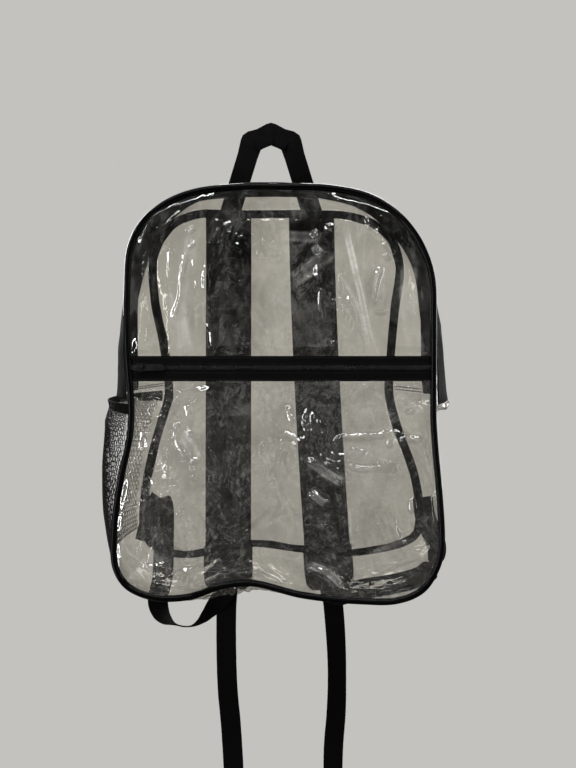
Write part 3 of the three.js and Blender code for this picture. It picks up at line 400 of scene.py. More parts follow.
def outward(points, rows, step=0.05):
    along = seam(points, rows + step) - seam(points, rows - step)
    return unit(np.column_stack([-along[:, 2], np.zeros(len(rows)), along[:, 0]]))


def inset(points, rows, distance):
    return seam(points, rows) - outward(points, rows) * distance


def row_at(z, right, distance=FRONT_PIPING_RADIUS):
    """The front seam's row beside the pocket zip where the seam, set in by a distance, is at height z."""
    rows = np.linspace(6.5, 8.5, 400) if right else np.linspace(29.5, 27.5, 400)
    return np.interp(-z, -inset(FRONT_SEAM, rows, distance)[:, 2], rows)


def corners_at(z):
    """The rows, left and right, where a panel's straight edge at height z ends."""
    return tuple(row_at(z, right, FRONT_INSET) for right in (False, True))


def bulge_at(rows):
    here = np.floor(rows).astype(int)
    share = (rows - here)[:, None]
    bulge = OUTLINE[:, 4]
    linear = bulge[here % ROWS] * (1 - share[:, 0]) + bulge[(here + 1) % ROWS] * share[:, 0]
    return linear * DEPTH


def gusset(rows, backs, standoff=0):
    """Points of the gusset, rows by distances back from the front seam."""
    front, rear = seam(FRONT_SEAM, rows), seam(BACK_SEAM, rows)
    away = unit(outward(FRONT_SEAM, rows) + outward(BACK_SEAM, rows))
    share = (np.asarray(backs) / DEPTH)[None, :, None]
    stand = bulge_at(rows)[:, None] * np.sin(np.pi * share[:, :, 0]) + standoff
    return front[:, None] * (1 - share) + rear[:, None] * share + away[:, None] * stand[:, :, None]


def lengths(points):
    steps = np.linalg.norm(np.diff(points, axis=0), axis=1)
    return np.concatenate([[0], np.cumsum(steps)])


def even_rows(first, last, step, points=FRONT_SEAM):
    """Rows spaced evenly along a seam."""
    dense = np.linspace(first, last, int(abs(last - first) * 40) + 2)
    along = lengths(seam(points, dense))
    count = max(int(round(along[-1] / step)), 2)
    return np.interp(np.linspace(0, along[-1], count + 1), along, dense)


def read_at(values, places, at):
    """Rows of values, known at places, read between them."""
    return np.column_stack([np.interp(at, places, values[:, k]) for k in range(values.shape[1])])


def look_up(table, at):
    """A table of pairs, read between its rows."""
    return read_at(np.array(table, float)[:, 1:], [pair[0] for pair in table], at)[:, 0]


def even_line(points, count):
    """The same line with evenly spaced points. Columns after the place count in the spacing too."""
    along = lengths(points)
    return read_at(points, along, np.linspace(0, along[-1], count))


def normals_of(grid):
    down = np.gradient(grid, axis=0)
    across = np.gradient(grid, axis=1)
    return unit(np.cross(down, across))


def gusset_normals(grid, rows):
    """Normals of a gusset grid, turned away from the bag."""
    away = normals_of(grid)
    return away * np.sign((away * outward(FRONT_SEAM, rows)[:, None]).sum(2, keepdims=True))


# Noise


def perlin(x, y, seed):
    """Smooth noise from about -1 to 1."""
    turns = np.random.default_rng(seed).uniform(0, 2 * np.pi, (64, 64))
    xi, yi = np.floor(x).astype(int), np.floor(y).astype(int)
    xf, yf = x - xi, y - yi

    def corner(dx, dy):
        turn = turns[(xi + dx) % 64, (yi + dy) % 64]
        return np.cos(turn) * (xf - dx) + np.sin(turn) * (yf - dy)

    u = xf**3 * (xf * (xf * 6 - 15) + 10)
    v = yf**3 * (yf * (yf * 6 - 15) + 10)
    top = corner(0, 0) * (1 - u) + corner(1, 0) * u
    bottom = corner(0, 1) * (1 - u) + corner(1, 1) * u
    return (top * (1 - v) + bottom * v) * 1.5


def crumple(x, y, seed, size, stretch=1, octaves=3, softness=0.06, warp=0.7):
    """Facets with sharp folds between them, from 0 to about 1. stretch lengthens them along y."""
    px, py = x / size, y / (size * stretch)
    wx = perlin(px * 0.6 + 7, py * 0.6, seed + 1)
    wy = perlin(px * 0.6, py * 0.6 + 9, seed + 2)
    px, py = px + warp * wx, py + warp * wy
    total, weight = 0, 0
    for k in range(octaves):
        n = perlin(px * 2.1**k, py * 2.1**k, seed + 10 + k)
        total = total + (np.sqrt(n * n + softness**2) - softness) * 0.5**k
        weight += 0.5**k
    return total / weight


def along_strokes(x, z, strokes, sharpness, rim=0.0):
    """For each stroke its width, strength and a mask that is 1 along its line. rim hollows its middle."""
    for number, (x0, z0, x1, z1, width, strength) in enumerate(strokes):
        ax, az, bx, bz = x0 * MM, z0 * MM, x1 * MM, z1 * MM
        length = math.hypot(bx - ax, bz - az)
        tx, tz = (bx - ax) / length, (bz - az) / length
        along = ((x - ax) * tx + (z - az) * tz) / length
        off = (x - ax) * tz - (z - az) * tx
        bend = 0.1 * length * np.sin(np.pi * np.clip(along, 0, 1)) * math.sin(x0 + z1)
        taper = smoothstep(along, -0.15, 0.2) * (1 - smoothstep(along, 0.8, 1.15))
        beads = 1 + 0.22 * perlin(along * length / (5 * MM), off / (9 * MM), 300 + number)
        aside = np.abs((off + bend) / (width * MM))
        profile = np.exp(-(aside**sharpness)) * (1 - rim + rim * np.minimum(aside, 1) ** 2)
        yield width * MM, strength, taper * beads * profile


FLANK_SLOPES = (0.25, 0.95)
BELL_STEEPNESS = 0.858


def catching_slope(x0, z0, x1, z1, y, lean):
    """How steep the flank of a fold is where it mirrors a strip lamp towards the camera.
    lean is the slope of the sheet under the fold."""
    point = np.array([(x0 + x1) / 2 * MM, y, (z0 + z1) / 2 * MM])
    across = unit(np.array([z1 - z0, x0 - x1], float))
    halfway = unit(STRIP_POINTS - point) + unit(np.array(CAMERA_PLACE) - point)
    wanted = halfway[:, [0, 2]] / halfway[:, 1:2] - lean
    flank = wanted @ across
    missed = np.linalg.norm(wanted - flank[:, None] * across, axis=1)
    return np.clip(abs(flank[np.argmin(missed)]), *FLANK_SLOPES)


def crease_heights(grid, base, creases, y):
    """Folds to add to a sheet. A fold is steepest at BELL_STEEPNESS of its height over its width."""
    down, across = spacing(grid)
    slopes = np.stack([np.gradient(base, axis=1) / across, -np.gradient(base, axis=0) / down])
    total = np.zeros_like(base)
    strokes = along_strokes(grid[..., 0], grid[..., 2], creases, 2)
    for (x0, z0, x1, z1, *_), (width, share, mask) in zip(creases, strokes):
        lean = (slopes * mask).sum(axis=(1, 2)) / mask.sum()
        total += share * catching_slope(x0, z0, x1, z1, y, lean) / BELL_STEEPNESS * width * mask
    return total


def painted_reflection_shares(x, z, strokes):
    return sum(strength * mask for _, strength, mask in along_strokes(x, z, strokes, 6, rim=0.7))


def facets(x, z, seed, count, sharp):
    """A sheet folded along straight lines, with flat faces between them."""
    rng = np.random.default_rng(seed)
    wx = x + perlin(x / 0.04, z / 0.04, seed + 1) * 5 * MM
    wz = z + perlin(x / 0.04, z / 0.04, seed + 2) * 5 * MM
    total = np.zeros_like(x)
    for _ in range(count):
        turn = rng.uniform(0, np.pi)
        through_x = rng.uniform(x.min(), x.max())
        through_z = rng.uniform(z.min(), z.max())
        off = (wx - through_x) * math.cos(turn) + (wz - through_z) * math.sin(turn)
        total += rng.uniform(-1, 1) * np.sqrt(off**2 + sharp**2)
    u, v = (x - x.mean()).ravel() / x.std(), (z - z.mean()).ravel() / z.std()
    basis = np.column_stack([u**i * v**j for i in range(4) for j in range(4 - i)])
    fitted = basis @ np.linalg.lstsq(basis, total.ravel(), rcond=None)[0]
    return total - fitted.reshape(x.shape)


def spacing(grid):
    down = np.linalg.norm(np.diff(grid, axis=0), axis=2).mean()
    across = np.linalg.norm(np.diff(grid, axis=1), axis=2).mean()
    return down, across


def slope_of(height, grid):
    down, across = spacing(grid)
    return np.hypot(np.gradient(height, axis=0) / down, np.gradient(height, axis=1) / across)


def relief(grid, layers, seed, spots=(), flat=None, faces=None):
    """Height of a sheet's folds. Each layer is scaled to the slope its steepest twentieth reaches.
    faces holds the number of straight folds and the slope of the faces between them."""
    x, z = flat if flat is not None else (grid[..., 0], grid[..., 2])
    patches = smoothstep(perlin(x / 0.05, z / 0.06, seed + 60), 0.1, 0.55)
    for spot_x, spot_z, reach, weight in spots:
        near = np.exp(-(((x - spot_x * MM) ** 2 + (z - spot_z * MM) ** 2) / (reach * MM) ** 2))
        patches = np.maximum(patches, weight * near)
    total = np.zeros(grid.shape[:2])
    for number, (size, stretch, octaves, softness, slope, patchy) in enumerate(layers):
        height = crumple(x, z, seed + 20 * number, size * MM, stretch, octaves, softness)
        height = height * slope / np.percentile(slope_of(height, grid), 95)
        total += height * patches if patchy else height
    if faces is not None:
        count, slope = faces
        height = facets(x, z, seed + 90, count, 0.8 * MM)
        total += height * slope / np.percentile(slope_of(height, grid), 95)
    return total


# Meshes


def add_mesh(name, points, faces, uv=None, smooth=True):
    mesh = bpy.data.meshes.new(name)
    mesh.from_pydata(np.asarray(points, float).tolist(), [], [list(face) for face in faces])
    if uv is not None:
        layer = mesh.uv_layers.new(name="weave")
        layer.data.foreach_set("uv", np.asarray(uv, np.float32).ravel())
    mesh.polygons.foreach_set("use_smooth", [smooth] * len(mesh.polygons))
    mesh.update()
    piece = bpy.data.objects.new(name, mesh)
    bpy.context.scene.collection.objects.link(piece)
    return piece


def finish_piece(piece, material, replaces=(), body=BAG):
    piece.data.materials.append(material)
    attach(piece, body)
    if replaces:
        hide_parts(*replaces)
    return piece


def quads(rows, columns, wrap_rows=False, wrap_columns=False):
    i, j = np.meshgrid(
        np.arange(rows if wrap_rows else rows - 1),
        np.arange(columns if wrap_columns else columns - 1),
        indexing="ij",
    )
    i, j = i.ravel(), j.ravel()
    a, b = (i + 1) % rows, (j + 1) % columns
    faces = np.column_stack([i * columns + j, i * columns + b, a * columns + b, a * columns + j])
    return faces, i, j


def corner_uv(u, v, i, j):
    """u and v have one more value than there are cells, so a seam doesn't fold the weave back."""
    return np.stack(
        [
            np.column_stack([u[i], v[j]]),
            np.column_stack([u[i], v[j + 1]]),
            np.column_stack([u[i + 1], v[j + 1]]),
            np.column_stack([u[i + 1], v[j]]),
        ],
        axis=1,
    )


def sheet(name, grid, height, milk_and_painted_reflection=0.0):
    """One surface on a grid of points, which remembers how folded and how steep it is at each point, and how
    much painted reflection whitens it.
    """
    rows, columns = grid.shape[:2]
    faces, i, j = quads(rows, columns)
    uv = corner_uv(lengths(grid[:, columns // 2]), lengths(grid[rows // 2]), i, j)
    piece = add_mesh(name, grid.reshape(-1, 3), faces, uv)
    down, across = spacing(grid)
    bent = np.abs(np.gradient(np.gradient(height, axis=0), axis=0)) / down**2
    bent = bent + np.abs(np.gradient(np.gradient(height, axis=1), axis=1)) / across**2
    for attribute, values in (
        ("fold", smoothstep(bent, FOLD_CURVATURE[0], FOLD_CURVATURE[1])),
        ("slope", smoothstep(slope_of(height, grid), FOLD_SLOPE[0], FOLD_SLOPE[1])),
        ("milk_and_painted_reflection", milk_and_painted_reflection + np.zeros_like(height)),
    ):
        layer = piece.data.attributes.new(attribute, "FLOAT", "POINT")
        layer.data.foreach_set("value", values.astype(np.float32).ravel())
    return piece


def shell(name, grid, thickness, offset=0):
    """A cloth of even thickness on a grid of points, closed all round."""
    rows, columns = grid.shape[:2]
    normal = normals_of(grid)
    outer = grid + normal * (offset + thickness / 2)
    inner = grid + normal * (offset - thickness / 2)
    faces, i, j = quads(rows, columns)
    uv = corner_uv(lengths(grid[:, columns // 2]), lengths(grid[rows // 2]), i, j)
    total = rows * columns
    order = np.arange(total).reshape(rows, columns)
    rim = np.concatenate([order[0, :-1], order[:-1, -1], order[-1, :0:-1], order[:0:-1, 0]])
    after = np.roll(rim, -1)
    sides = np.column_stack([rim, rim + total, after + total, after])
    rim_uv = np.zeros((len(sides), 4, 2))
    faces = np.vstack([faces, faces[:, ::-1] + total, sides])
    uv = np.concatenate([uv, uv[:, ::-1], rim_uv])
    return add_mesh(name, np.vstack([outer.reshape(-1, 3), inner.reshape(-1, 3)]), faces, uv)


def loft(name, rings, closed=False):
    """Rings of points joined along their length, with capped ends unless it is closed."""
    count, sides = rings.shape[:2]
    faces, i, j = quads(count, sides, wrap_rows=closed, wrap_columns=True)
    along = lengths(rings.mean(axis=1))
    if closed:
        along = np.append(along, along[-1] + np.linalg.norm(rings[0].mean(0) - rings[-1].mean(0)))
    around = lengths(np.vstack([rings[0], rings[0][:1]]))
    uv = corner_uv(along, around, i, j)
    faces = [list(f) for f in faces]
    uv = list(uv.reshape(-1, 2))
    if not closed:
        last = (count - 1) * sides
        faces.append(list(range(sides - 1, -1, -1)))
        faces.append(list(range(last, last + sides)))
        uv.extend([(0, 0)] * (2 * sides))
    return add_mesh(name, rings.reshape(-1, 3), faces, uv)


def frames_along(centres, across, closed=False):
    if closed:
        tangent = unit(np.roll(centres, -1, axis=0) - np.roll(centres, 1, axis=0))
    else:
        tangent = unit(np.gradient(centres, axis=0))
    across = unit(across - tangent * (across * tangent).sum(1, keepdims=True))
    return across, np.cross(tangent, across)


def profile_rings(centres, across, through, profile):
    """profile holds (across, through) offsets, one list for all or one list per section."""
    profile = np.asarray(profile, float)
    if profile.ndim == 2:
        profile = np.broadcast_to(profile, (len(centres),) + profile.shape)
    return (
        centres[:, None]
        + across[:, None] * profile[:, :, :1]
        + through[:, None] * profile[:, :, 1:]
    )


def round_profile(radius, sides):
    turn = np.linspace(0, 2 * np.pi, sides, endpoint=False)
    return np.column_stack([np.cos(turn), np.sin(turn)]) * radius


def flat_profile(width, thickness, steps=10, edge_steps=3):
    """A strap's section with rounded edges."""
    half, round_edge = width / 2, thickness / 2
    turn = np.linspace(-np.pi / 2, np.pi / 2, edge_steps * 2 + 1)
    right = np.column_stack([half - round_edge + np.cos(turn) * round_edge, np.sin(turn) * round_edge])
    middle = np.linspace(half - round_edge, -half + round_edge, steps + 1)[1:-1]
    top = np.column_stack([middle, np.full(len(middle), round_edge)])
    return np.vstack([right, top, -right, -top])


ROUNDED_ENDS = [(0.0, 0.45), (0.18, 1.0), (0.82, 1.0), (1.0, 0.45)]


def capsules(name, starts, ends, radius, sides=5, flat=1.0, up=None, shares=ROUNDED_ENDS):
    """Many small rounded bars in one mesh, for stitches and zip teeth."""
    starts, ends = np.asarray(starts), np.asarray(ends)
    axis = unit(ends - starts)
    guide = np.broadcast_to(up if up is not None else np.array([0, 0, 1.0]), axis.shape)
    side = unit(np.cross(axis, guide) + 1e-9)
    lift = np.cross(side, axis)
    turn = np.linspace(0, 2 * np.pi, sides, endpoint=False)
    rings = []
    for share, size in shares:
        centre = starts + (ends - starts) * share
        ring = (
            centre[:, None]
            + side[:, None] * (np.cos(turn) * radius * size)[None, :, None]
            + lift[:, None] * (np.sin(turn) * radius * size * flat)[None, :, None]
        )
        rings.append(ring)
    points = np.stack(rings, axis=1)
    count = len(starts)
    step = len(shares) * sides
    base = np.arange(count)[:, None, None] * step
    tube, _, _ = quads(len(shares), sides, wrap_columns=True)
    tubes = (base + tube[None]).reshape(-1, 4).tolist()
    first = (base[:, 0] + np.arange(sides)[None, ::-1]).tolist()
    last = (base[:, 0] + (len(shares) - 1) * sides + np.arange(sides)[None]).tolist()
    return add_mesh(name, points.reshape(-1, 3), tubes + first + last)


# Materials
TWO_FACES = 1.9
FOLD_CURVATURE = (90, 320)
# Fold steepness over which the painted shade comes in.
FOLD_SLOPE = (0.1, 0.5)
FOLD_WHITENING = 0.08
VEIN_WIDTH = 0.012
VEIN_WHITENING = 0.05
# How far the painted shade darkens the see-through colour.
DARKEST = 0.73
# Strength of the painted reflection swirls.
SWIRL_PAINTED_REFLECTION = 5


class Nodes:
    """A material's nodes, added one by one."""

    def __init__(self, name):
        self.material = bpy.data.materials.new(name)
        self.material.use_nodes = True
        self.tree = self.material.node_tree
        self.tree.nodes.clear()
        self.output = self.add("ShaderNodeOutputMaterial")

    def add(self, kind, **settings):
        node = self.tree.nodes.new(kind)
        for key, value in settings.items():
            setattr(node, key, value)
        return node

    def link(self, source, target):
        self.tree.links.new(source, target)

    def set_or_link(self, socket, value):
        if isinstance(value, bpy.types.NodeSocket):
            self.link(value, socket)
        else:
            socket.default_value = value

    def math(self, operation, a, b=None, clamp=False):
        node = self.add("ShaderNodeMath", operation=operation, use_clamp=clamp)
        self.set_or_link(node.inputs[0], a)
        if b is not None:
            self.set_or_link(node.inputs[1], b)
        return node.outputs[0]

    def noise(self, scale, detail=2.0, roughness=0.5, distortion=0.0, vector=None):
        node = self.add("ShaderNodeTexNoise")
        node.inputs["Scale"].default_value = scale
        node.inputs["Detail"].default_value = detail
        node.inputs["Roughness"].default_value = roughness
        node.inputs["Distortion"].default_value = distortion
        self.link(vector or self.place(), node.inputs["Vector"])
        return node.outputs["Fac"]

    def place(self):
        return self.add("ShaderNodeTexCoord").outputs["Object"]

    def weave_uv(self):
        separate = self.add("ShaderNodeSeparateXYZ")
        uv = self.add("ShaderNodeUVMap", uv_map="weave")
        self.link(uv.outputs["UV"], separate.inputs[0])
        return separate.outputs[0], separate.outputs[1]

    def ranged(self, value, low, high, to_low, to_high):
        node = self.add("ShaderNodeMapRange", clamp=True)
        self.link(value, node.inputs["Value"])
        node.inputs["From Min"].default_value = low
        node.inputs["From Max"].default_value = high
        node.inputs["To Min"].default_value = to_low
        node.inputs["To Max"].default_value = to_high
        return node.outputs["Result"]

    def blend_colours(self, factor, first, second):
        node = self.add("ShaderNodeMix", data_type="RGBA")
        self.link(factor, node.inputs["Factor"])
        node.inputs["A"].default_value = (*first, 1)
        node.inputs["B"].default_value = (*second, 1)
        return node.outputs["Result"]

    def ridges(self, value, width):
        """Thin lines where a noise crosses its middle."""
        away = self.math("ABSOLUTE", self.math("SUBTRACT", value, 0.5))
        return self.ranged(away, 0.0, width, 1.0, 0.0)

    def bump(self, height, strength, distance, normal=None):
        node = self.add("ShaderNodeBump")
        node.inputs["Strength"].default_value = strength
        node.inputs["Distance"].default_value = distance
        self.link(height, node.inputs["Height"])
        if normal is not None:
            self.link(normal, node.inputs["Normal"])
        return node.outputs["Normal"]

    def principled(self, **values):
        node = self.add("ShaderNodeBsdfPrincipled")
        for key, value in values.items():
            self.set_or_link(node.inputs[key.replace("_", " ")], value)
        return node

    def mix(self, factor, first, second):
        node = self.add("ShaderNodeMixShader")
        self.set_or_link(node.inputs[0], factor)
        self.link(first, node.inputs[1])
        self.link(second, node.inputs[2])
        return node.outputs[0]

    def done(self, shader):
        self.link(shader, self.output.inputs["Surface"])
        return self.material


def vinyl_material(name, tint_and_shadow, haze_and_painted_reflection, ripple, seed_scale=1.0, shine=1.0):
    """Clear sheet: it lets most light through, mirrors a little of the rest and whitens at its folds. Its
    see-through colour carries painted shade and painted shadow, and painted reflection whitens it in strokes
    and swirls.
    """
    n = Nodes(name)
    scuff = n.noise(38 * seed_scale, 4, 0.62, 1.2)
    cloud = n.noise(15 * seed_scale, 3, 0.6, 1.0)
    ripples = n.noise(90, 3, 0.5, 0.6)
    veins = n.ridges(n.noise(42 * seed_scale, 3, 0.55, 1.6), VEIN_WIDTH)
    veins = n.math("MULTIPLY", veins, n.ranged(cloud, 0.42, 0.62, 0.0, 1.0))
    fold = n.add("ShaderNodeAttribute", attribute_name="fold").outputs["Fac"]
    slope = n.add("ShaderNodeAttribute", attribute_name="slope").outputs["Fac"]
    painted_reflection_share = n.add("ShaderNodeAttribute", attribute_name="milk_and_painted_reflection").outputs["Fac"]
    normal = n.bump(n.math("ADD", ripples, n.math("MULTIPLY", veins, 0.4)), ripple, 0.0012)
    facing = n.add("ShaderNodeLayerWeight")
    facing.inputs["Blend"].default_value = 0.5
    n.link(normal, facing.inputs["Normal"])
    grazing = n.math("POWER", facing.outputs["Facing"], 5.0)
    one_side = n.math("ADD", n.math("MULTIPLY", grazing, 0.96), 0.04)
    mirrored = n.math("MULTIPLY", one_side, TWO_FACES * shine, clamp=True)
    clear = n.add("ShaderNodeBsdfTransparent")
    broad = n.noise(7 * seed_scale, 2, 0.5, 0.6)
    # Painted shade: the see-through colour darkens in cloudy patches and on steep folds, in place of light
    # that real film bends away.
    painted_shade = n.math("ADD", n.ranged(cloud, 0.36, 0.66, 0.0, 0.4), n.ranged(broad, 0.4, 0.62, 0.0, 0.4))
    painted_shade = n.math("ADD", painted_shade, n.math("MULTIPLY", slope, 0.6), clamp=True)
    darker = tuple(c * DARKEST for c in tint_and_shadow)
    n.link(n.blend_colours(painted_shade, tint_and_shadow, darker), clear.inputs["Color"])
    milk_and_painted_reflection = n.add("ShaderNodeBsdfDiffuse")
    milk_and_painted_reflection.inputs["Color"].default_value = (0.9, 0.875, 0.82, 1)
    n.link(normal, milk_and_painted_reflection.inputs["Normal"])
    swirl = n.noise(17 * seed_scale, 3, 0.6, 2.4)
    worn = n.ranged(scuff, 0.35, 0.7, 0.15, 1.0)
    whitened_and_painted_reflection = n.math("MULTIPLY", n.math("MULTIPLY", fold, worn), FOLD_WHITENING)
    whitened_and_painted_reflection = n.math("ADD", whitened_and_painted_reflection, n.math("MULTIPLY", veins, VEIN_WHITENING))
    # Painted reflection: the listed white strokes and light smoky swirls whiten the film where real film
    # would mirror the room.
    whitened_and_painted_reflection = n.math("ADD", whitened_and_painted_reflection, n.math("MULTIPLY", painted_reflection_share, n.ranged(swirl, 0.36, 0.62, 0.3, 1.4)))
    whitened_and_painted_reflection = n.math("ADD", whitened_and_painted_reflection, n.ranged(swirl, 0.5, 0.7, 0, haze_and_painted_reflection * SWIRL_PAINTED_REFLECTION))
    milkiness_and_painted_reflection = n.math("ADD", whitened_and_painted_reflection, n.ranged(scuff, 0.42, 0.75, haze_and_painted_reflection * 0.3, haze_and_painted_reflection * 2), clamp=True)
    film_with_painted_light = n.mix(milkiness_and_painted_reflection, clear.outputs[0], milk_and_painted_reflection.outputs[0])
    gloss = n.add("ShaderNodeBsdfGlossy")
    gloss.inputs["Color"].default_value = (1, 1, 1, 1)
    n.link(n.ranged(scuff, 0.4, 0.8, 0.035, 0.1), gloss.inputs["Roughness"])
    n.link(normal, gloss.inputs["Normal"])
    return n.done(n.mix(mirrored, film_with_painted_light, gloss.outputs[0]))


def woven_material(name, dark, light, along, across, bump=0.7, rough=0.8, lint=0.5, shine=0.1):
    """Plain weave. along and across are the thread pitches in metres."""
    n = Nodes(name)
    u, v = n.weave_uv()
    pu = n.math("MULTIPLY", u, math.pi / along)
    pv = n.math("MULTIPLY", v, math.pi / across)
    warp = n.math("ABSOLUTE", n.math("MULTIPLY", n.math("SINE", pu), n.math("COSINE", pv)))
    weft = n.math("ABSOLUTE", n.math("MULTIPLY", n.math("COSINE", pu), n.math("SINE", pv)))
    threads = n.math("MAXIMUM", warp, weft)
    fuzz = n.noise(900, 2, 0.6)
    wear = n.noise(45, 3, 0.6, 0.5)
    height = n.math("ADD", threads, n.math("MULTIPLY", fuzz, 0.35))
    # Painted highlight: thread crowns are lighter than the hollows between them; wear and lint vary the
    # colour too.
    thread_light_and_wear = n.math("MULTIPLY", threads, n.ranged(wear, 0.3, 0.75, 0.45, 1.0))
    thread_light_and_wear = n.math("ADD", thread_light_and_wear, n.math("MULTIPLY", n.ranged(fuzz, 0.62, 0.8, 0, 1), lint))
    colour = n.blend_colours(n.ranged(thread_light_and_wear, 0.35, 1.3, 0, 1), dark, light)
    shader = n.principled(
        Base_Color=colour,
        Roughness=n.ranged(wear, 0.3, 0.7, rough - 0.1, rough + 0.08),
        Normal=n.bump(height, bump, 0.0004),
        Specular_IOR_Level=shine,
    )
    return n.done(shader.outputs[0])


def smooth_material(name, dark, light, rough_low, rough_high, grain, bump=0.12, **extra):
    n = Nodes(name)
    wear = n.noise(70, 4, 0.6, 0.5)
    skin = n.noise(grain, 3, 0.6)
    shader = n.principled(
        Base_Color=n.blend_colours(n.ranged(wear, 0.35, 0.7, 0, 1), dark, light),
        Roughness=n.ranged(wear, 0.3, 0.75, rough_low, rough_high),
        Normal=n.bump(skin, bump, 0.0003),
        **extra,
    )
    return n.done(shader.outputs[0])


# See-through colours, darker and warmer than the film alone: painted shadow of the bag and its straps on the
# wall behind, most of it in the front one.
FRONT_TINT_AND_SHADOW = (0.885, 0.865, 0.81)
POCKET_TINT_AND_SHADOW = (0.98, 0.968, 0.935)
INNER_TINT_AND_SHADOW = (0.965, 0.957, 0.935)
BACK_TINT_AND_SHADOW = (0.925, 0.91, 0.868)
MATERIALS = {
    "front": vinyl_material("clear_vinyl_front", FRONT_TINT_AND_SHADOW, 0.008, 0.2),
    "pocket": vinyl_material("clear_vinyl_pocket", POCKET_TINT_AND_SHADOW, 0.008, 0.3, 1.3),
    "inner": vinyl_material("clear_vinyl_inner", INNER_TINT_AND_SHADOW, 0.006, 0.25, 0.8),
    "back": vinyl_material("clear_vinyl_back", BACK_TINT_AND_SHADOW, 0.008, 0.25, 1.1),
    "side": vinyl_material("clear_vinyl_side", BACK_TINT_AND_SHADOW, 0.01, 0.3, 0.9, 0.4),
}
# Columns: key, name, darkest and lightest colour, lowest and highest roughness, grain, other values.
SMOOTH = [
    ("piping", "black_vinyl_piping", (0.001, 0.001, 0.0011), (0.0025, 0.0025, 0.0027), 0.06, 0.14, 500,
     {"Specular_IOR_Level": 0.1}),
    ("coil", "black_zip_coil", (0.001, 0.001, 0.0012), (0.004, 0.004, 0.0042), 0.22, 0.4, 1500,
     {"Specular_IOR_Level": 0.4}),
    ("metal", "black_zip_metal", (0.003, 0.003, 0.0034), (0.009, 0.009, 0.0098), 0.2, 0.4, 900,
     {"Metallic": 0.3, "Coat_Weight": 0.4, "Coat_Roughness": 0.2}),
    ("net", "black_net_thread", (0.002, 0.002, 0.0022), (0.012, 0.012, 0.0125), 0.5, 0.75, 2500,
     {"Specular_IOR_Level": 0.2}),
    ("thread", "black_thread", (0.002, 0.002, 0.0022), (0.009, 0.009, 0.0095), 0.45, 0.65, 3000,
     {"Specular_IOR_Level": 0.2}),
    ("plastic", "black_plastic", (0.002, 0.002, 0.0022), (0.006, 0.006, 0.0063), 0.25, 0.45, 1200,
     {"Specular_IOR_Level": 0.4}),
]
# Columns: key, name, darkest colour and lightest, which thread crowns reach as painted highlight, thread
# pitch along and across in millimetres.
WOVEN = [
    ("band", "black_zip_cloth", (0.0008, 0.0008, 0.0009), (0.005, 0.005, 0.005), 0.55, 0.55),
    ("tape", "black_zip_tape", (0.0008, 0.0008, 0.0009), (0.005, 0.005, 0.005), 0.7, 0.9),
    ("webbing", "black_webbing", (0.0005, 0.0005, 0.0005), (0.0032, 0.0032, 0.0032), 1.1, 1.7),
    ("binding", "black_binding", (0.0008, 0.0008, 0.0009), (0.004, 0.004, 0.0041), 0.8, 1.0),
    ("strap", "black_strap_cloth", (0.0008, 0.0008, 0.0009), (0.004, 0.004, 0.0042), 0.9, 0.9),
]
for key, name, dark, light, rough_low, rough_high, grain, others in SMOOTH:
    MATERIALS[key] = smooth_material(name, dark, light, rough_low, rough_high, grain, **others)
for key, name, dark, light, along, across in WOVEN:
    MATERIALS[key] = woven_material(name, dark, light, along * MM, across * MM)


# Camera and light: made first, as the photograph's frame
def look_at(thing, target):
    direction = Vector(target) - thing.location
    thing.rotation_euler = direction.to_track_quat("-Z", "Y").to_euler()


camera_data = bpy.data.cameras.new("camera")
camera_data.sensor_width = 36
camera_data.lens = 27.75
camera_data.clip_start = 0.01
camera_data.clip_end = 20
camera = bpy.data.objects.new("camera", camera_data)
camera.location = CAMERA_PLACE
camera.rotation_euler = (math.pi / 2, 0, 0)
bpy.context.scene.collection.objects.link(camera)
bpy.context.scene.camera = camera

BAG_MIDDLE = (0.01, -0.06, -0.3)
# Columns: name, place, width, height, watts. The long thin ones draw the streaks on the folds.
LAMPS = [
    ("left_strip", (-1.3, -1.1, -0.1), 0.10, 1.8, 14),
    ("top_strip", (0.05, -1.1, 0.95), 2.0, 0.10, 14),
    ("right_strip", (1.45, -1.0, -0.2), 0.08, 1.4, 2.5),
    ("overhead", (0.1, -0.4, 1.3), 1.1, 0.4, 3),
    ("low_left", (-1.1, -0.8, -1.0), 0.3, 0.3, 2),
    ("rear_left", (-1.2, 1.3, 0.5), 0.5, 1.1, 22),
    ("rear_top", (0.3, 1.3, 0.9), 1.2, 0.3, 16),
    ("rear_right", (1.4, 1.1, -0.1), 0.4, 1.1, 12),
]
# Points along the two strips that the folds mirror
STRIP_SHARES = np.linspace(-0.5, 0.5, 41)[:, None]
STRIP_POINTS = np.vstack([
    place + STRIP_SHARES * ([width, 0, 0] if width > height else [0, 0, height])
    for name, place, width, height, _ in LAMPS
    if name in ("left_strip", "top_strip")
])
for name, place, width, height, watts in LAMPS:
    lamp_data = bpy.data.lights.new(name, "AREA")
    lamp_data.shape = "RECTANGLE"
    lamp_data.size = width
    lamp_data.size_y = height
    lamp_data.energy = watts
    lamp = bpy.data.objects.new(name, lamp_data)
    lamp.location = place
    look_at(lamp, BAG_MIDDLE)
    bpy.context.scene.collection.objects.link(lamp)

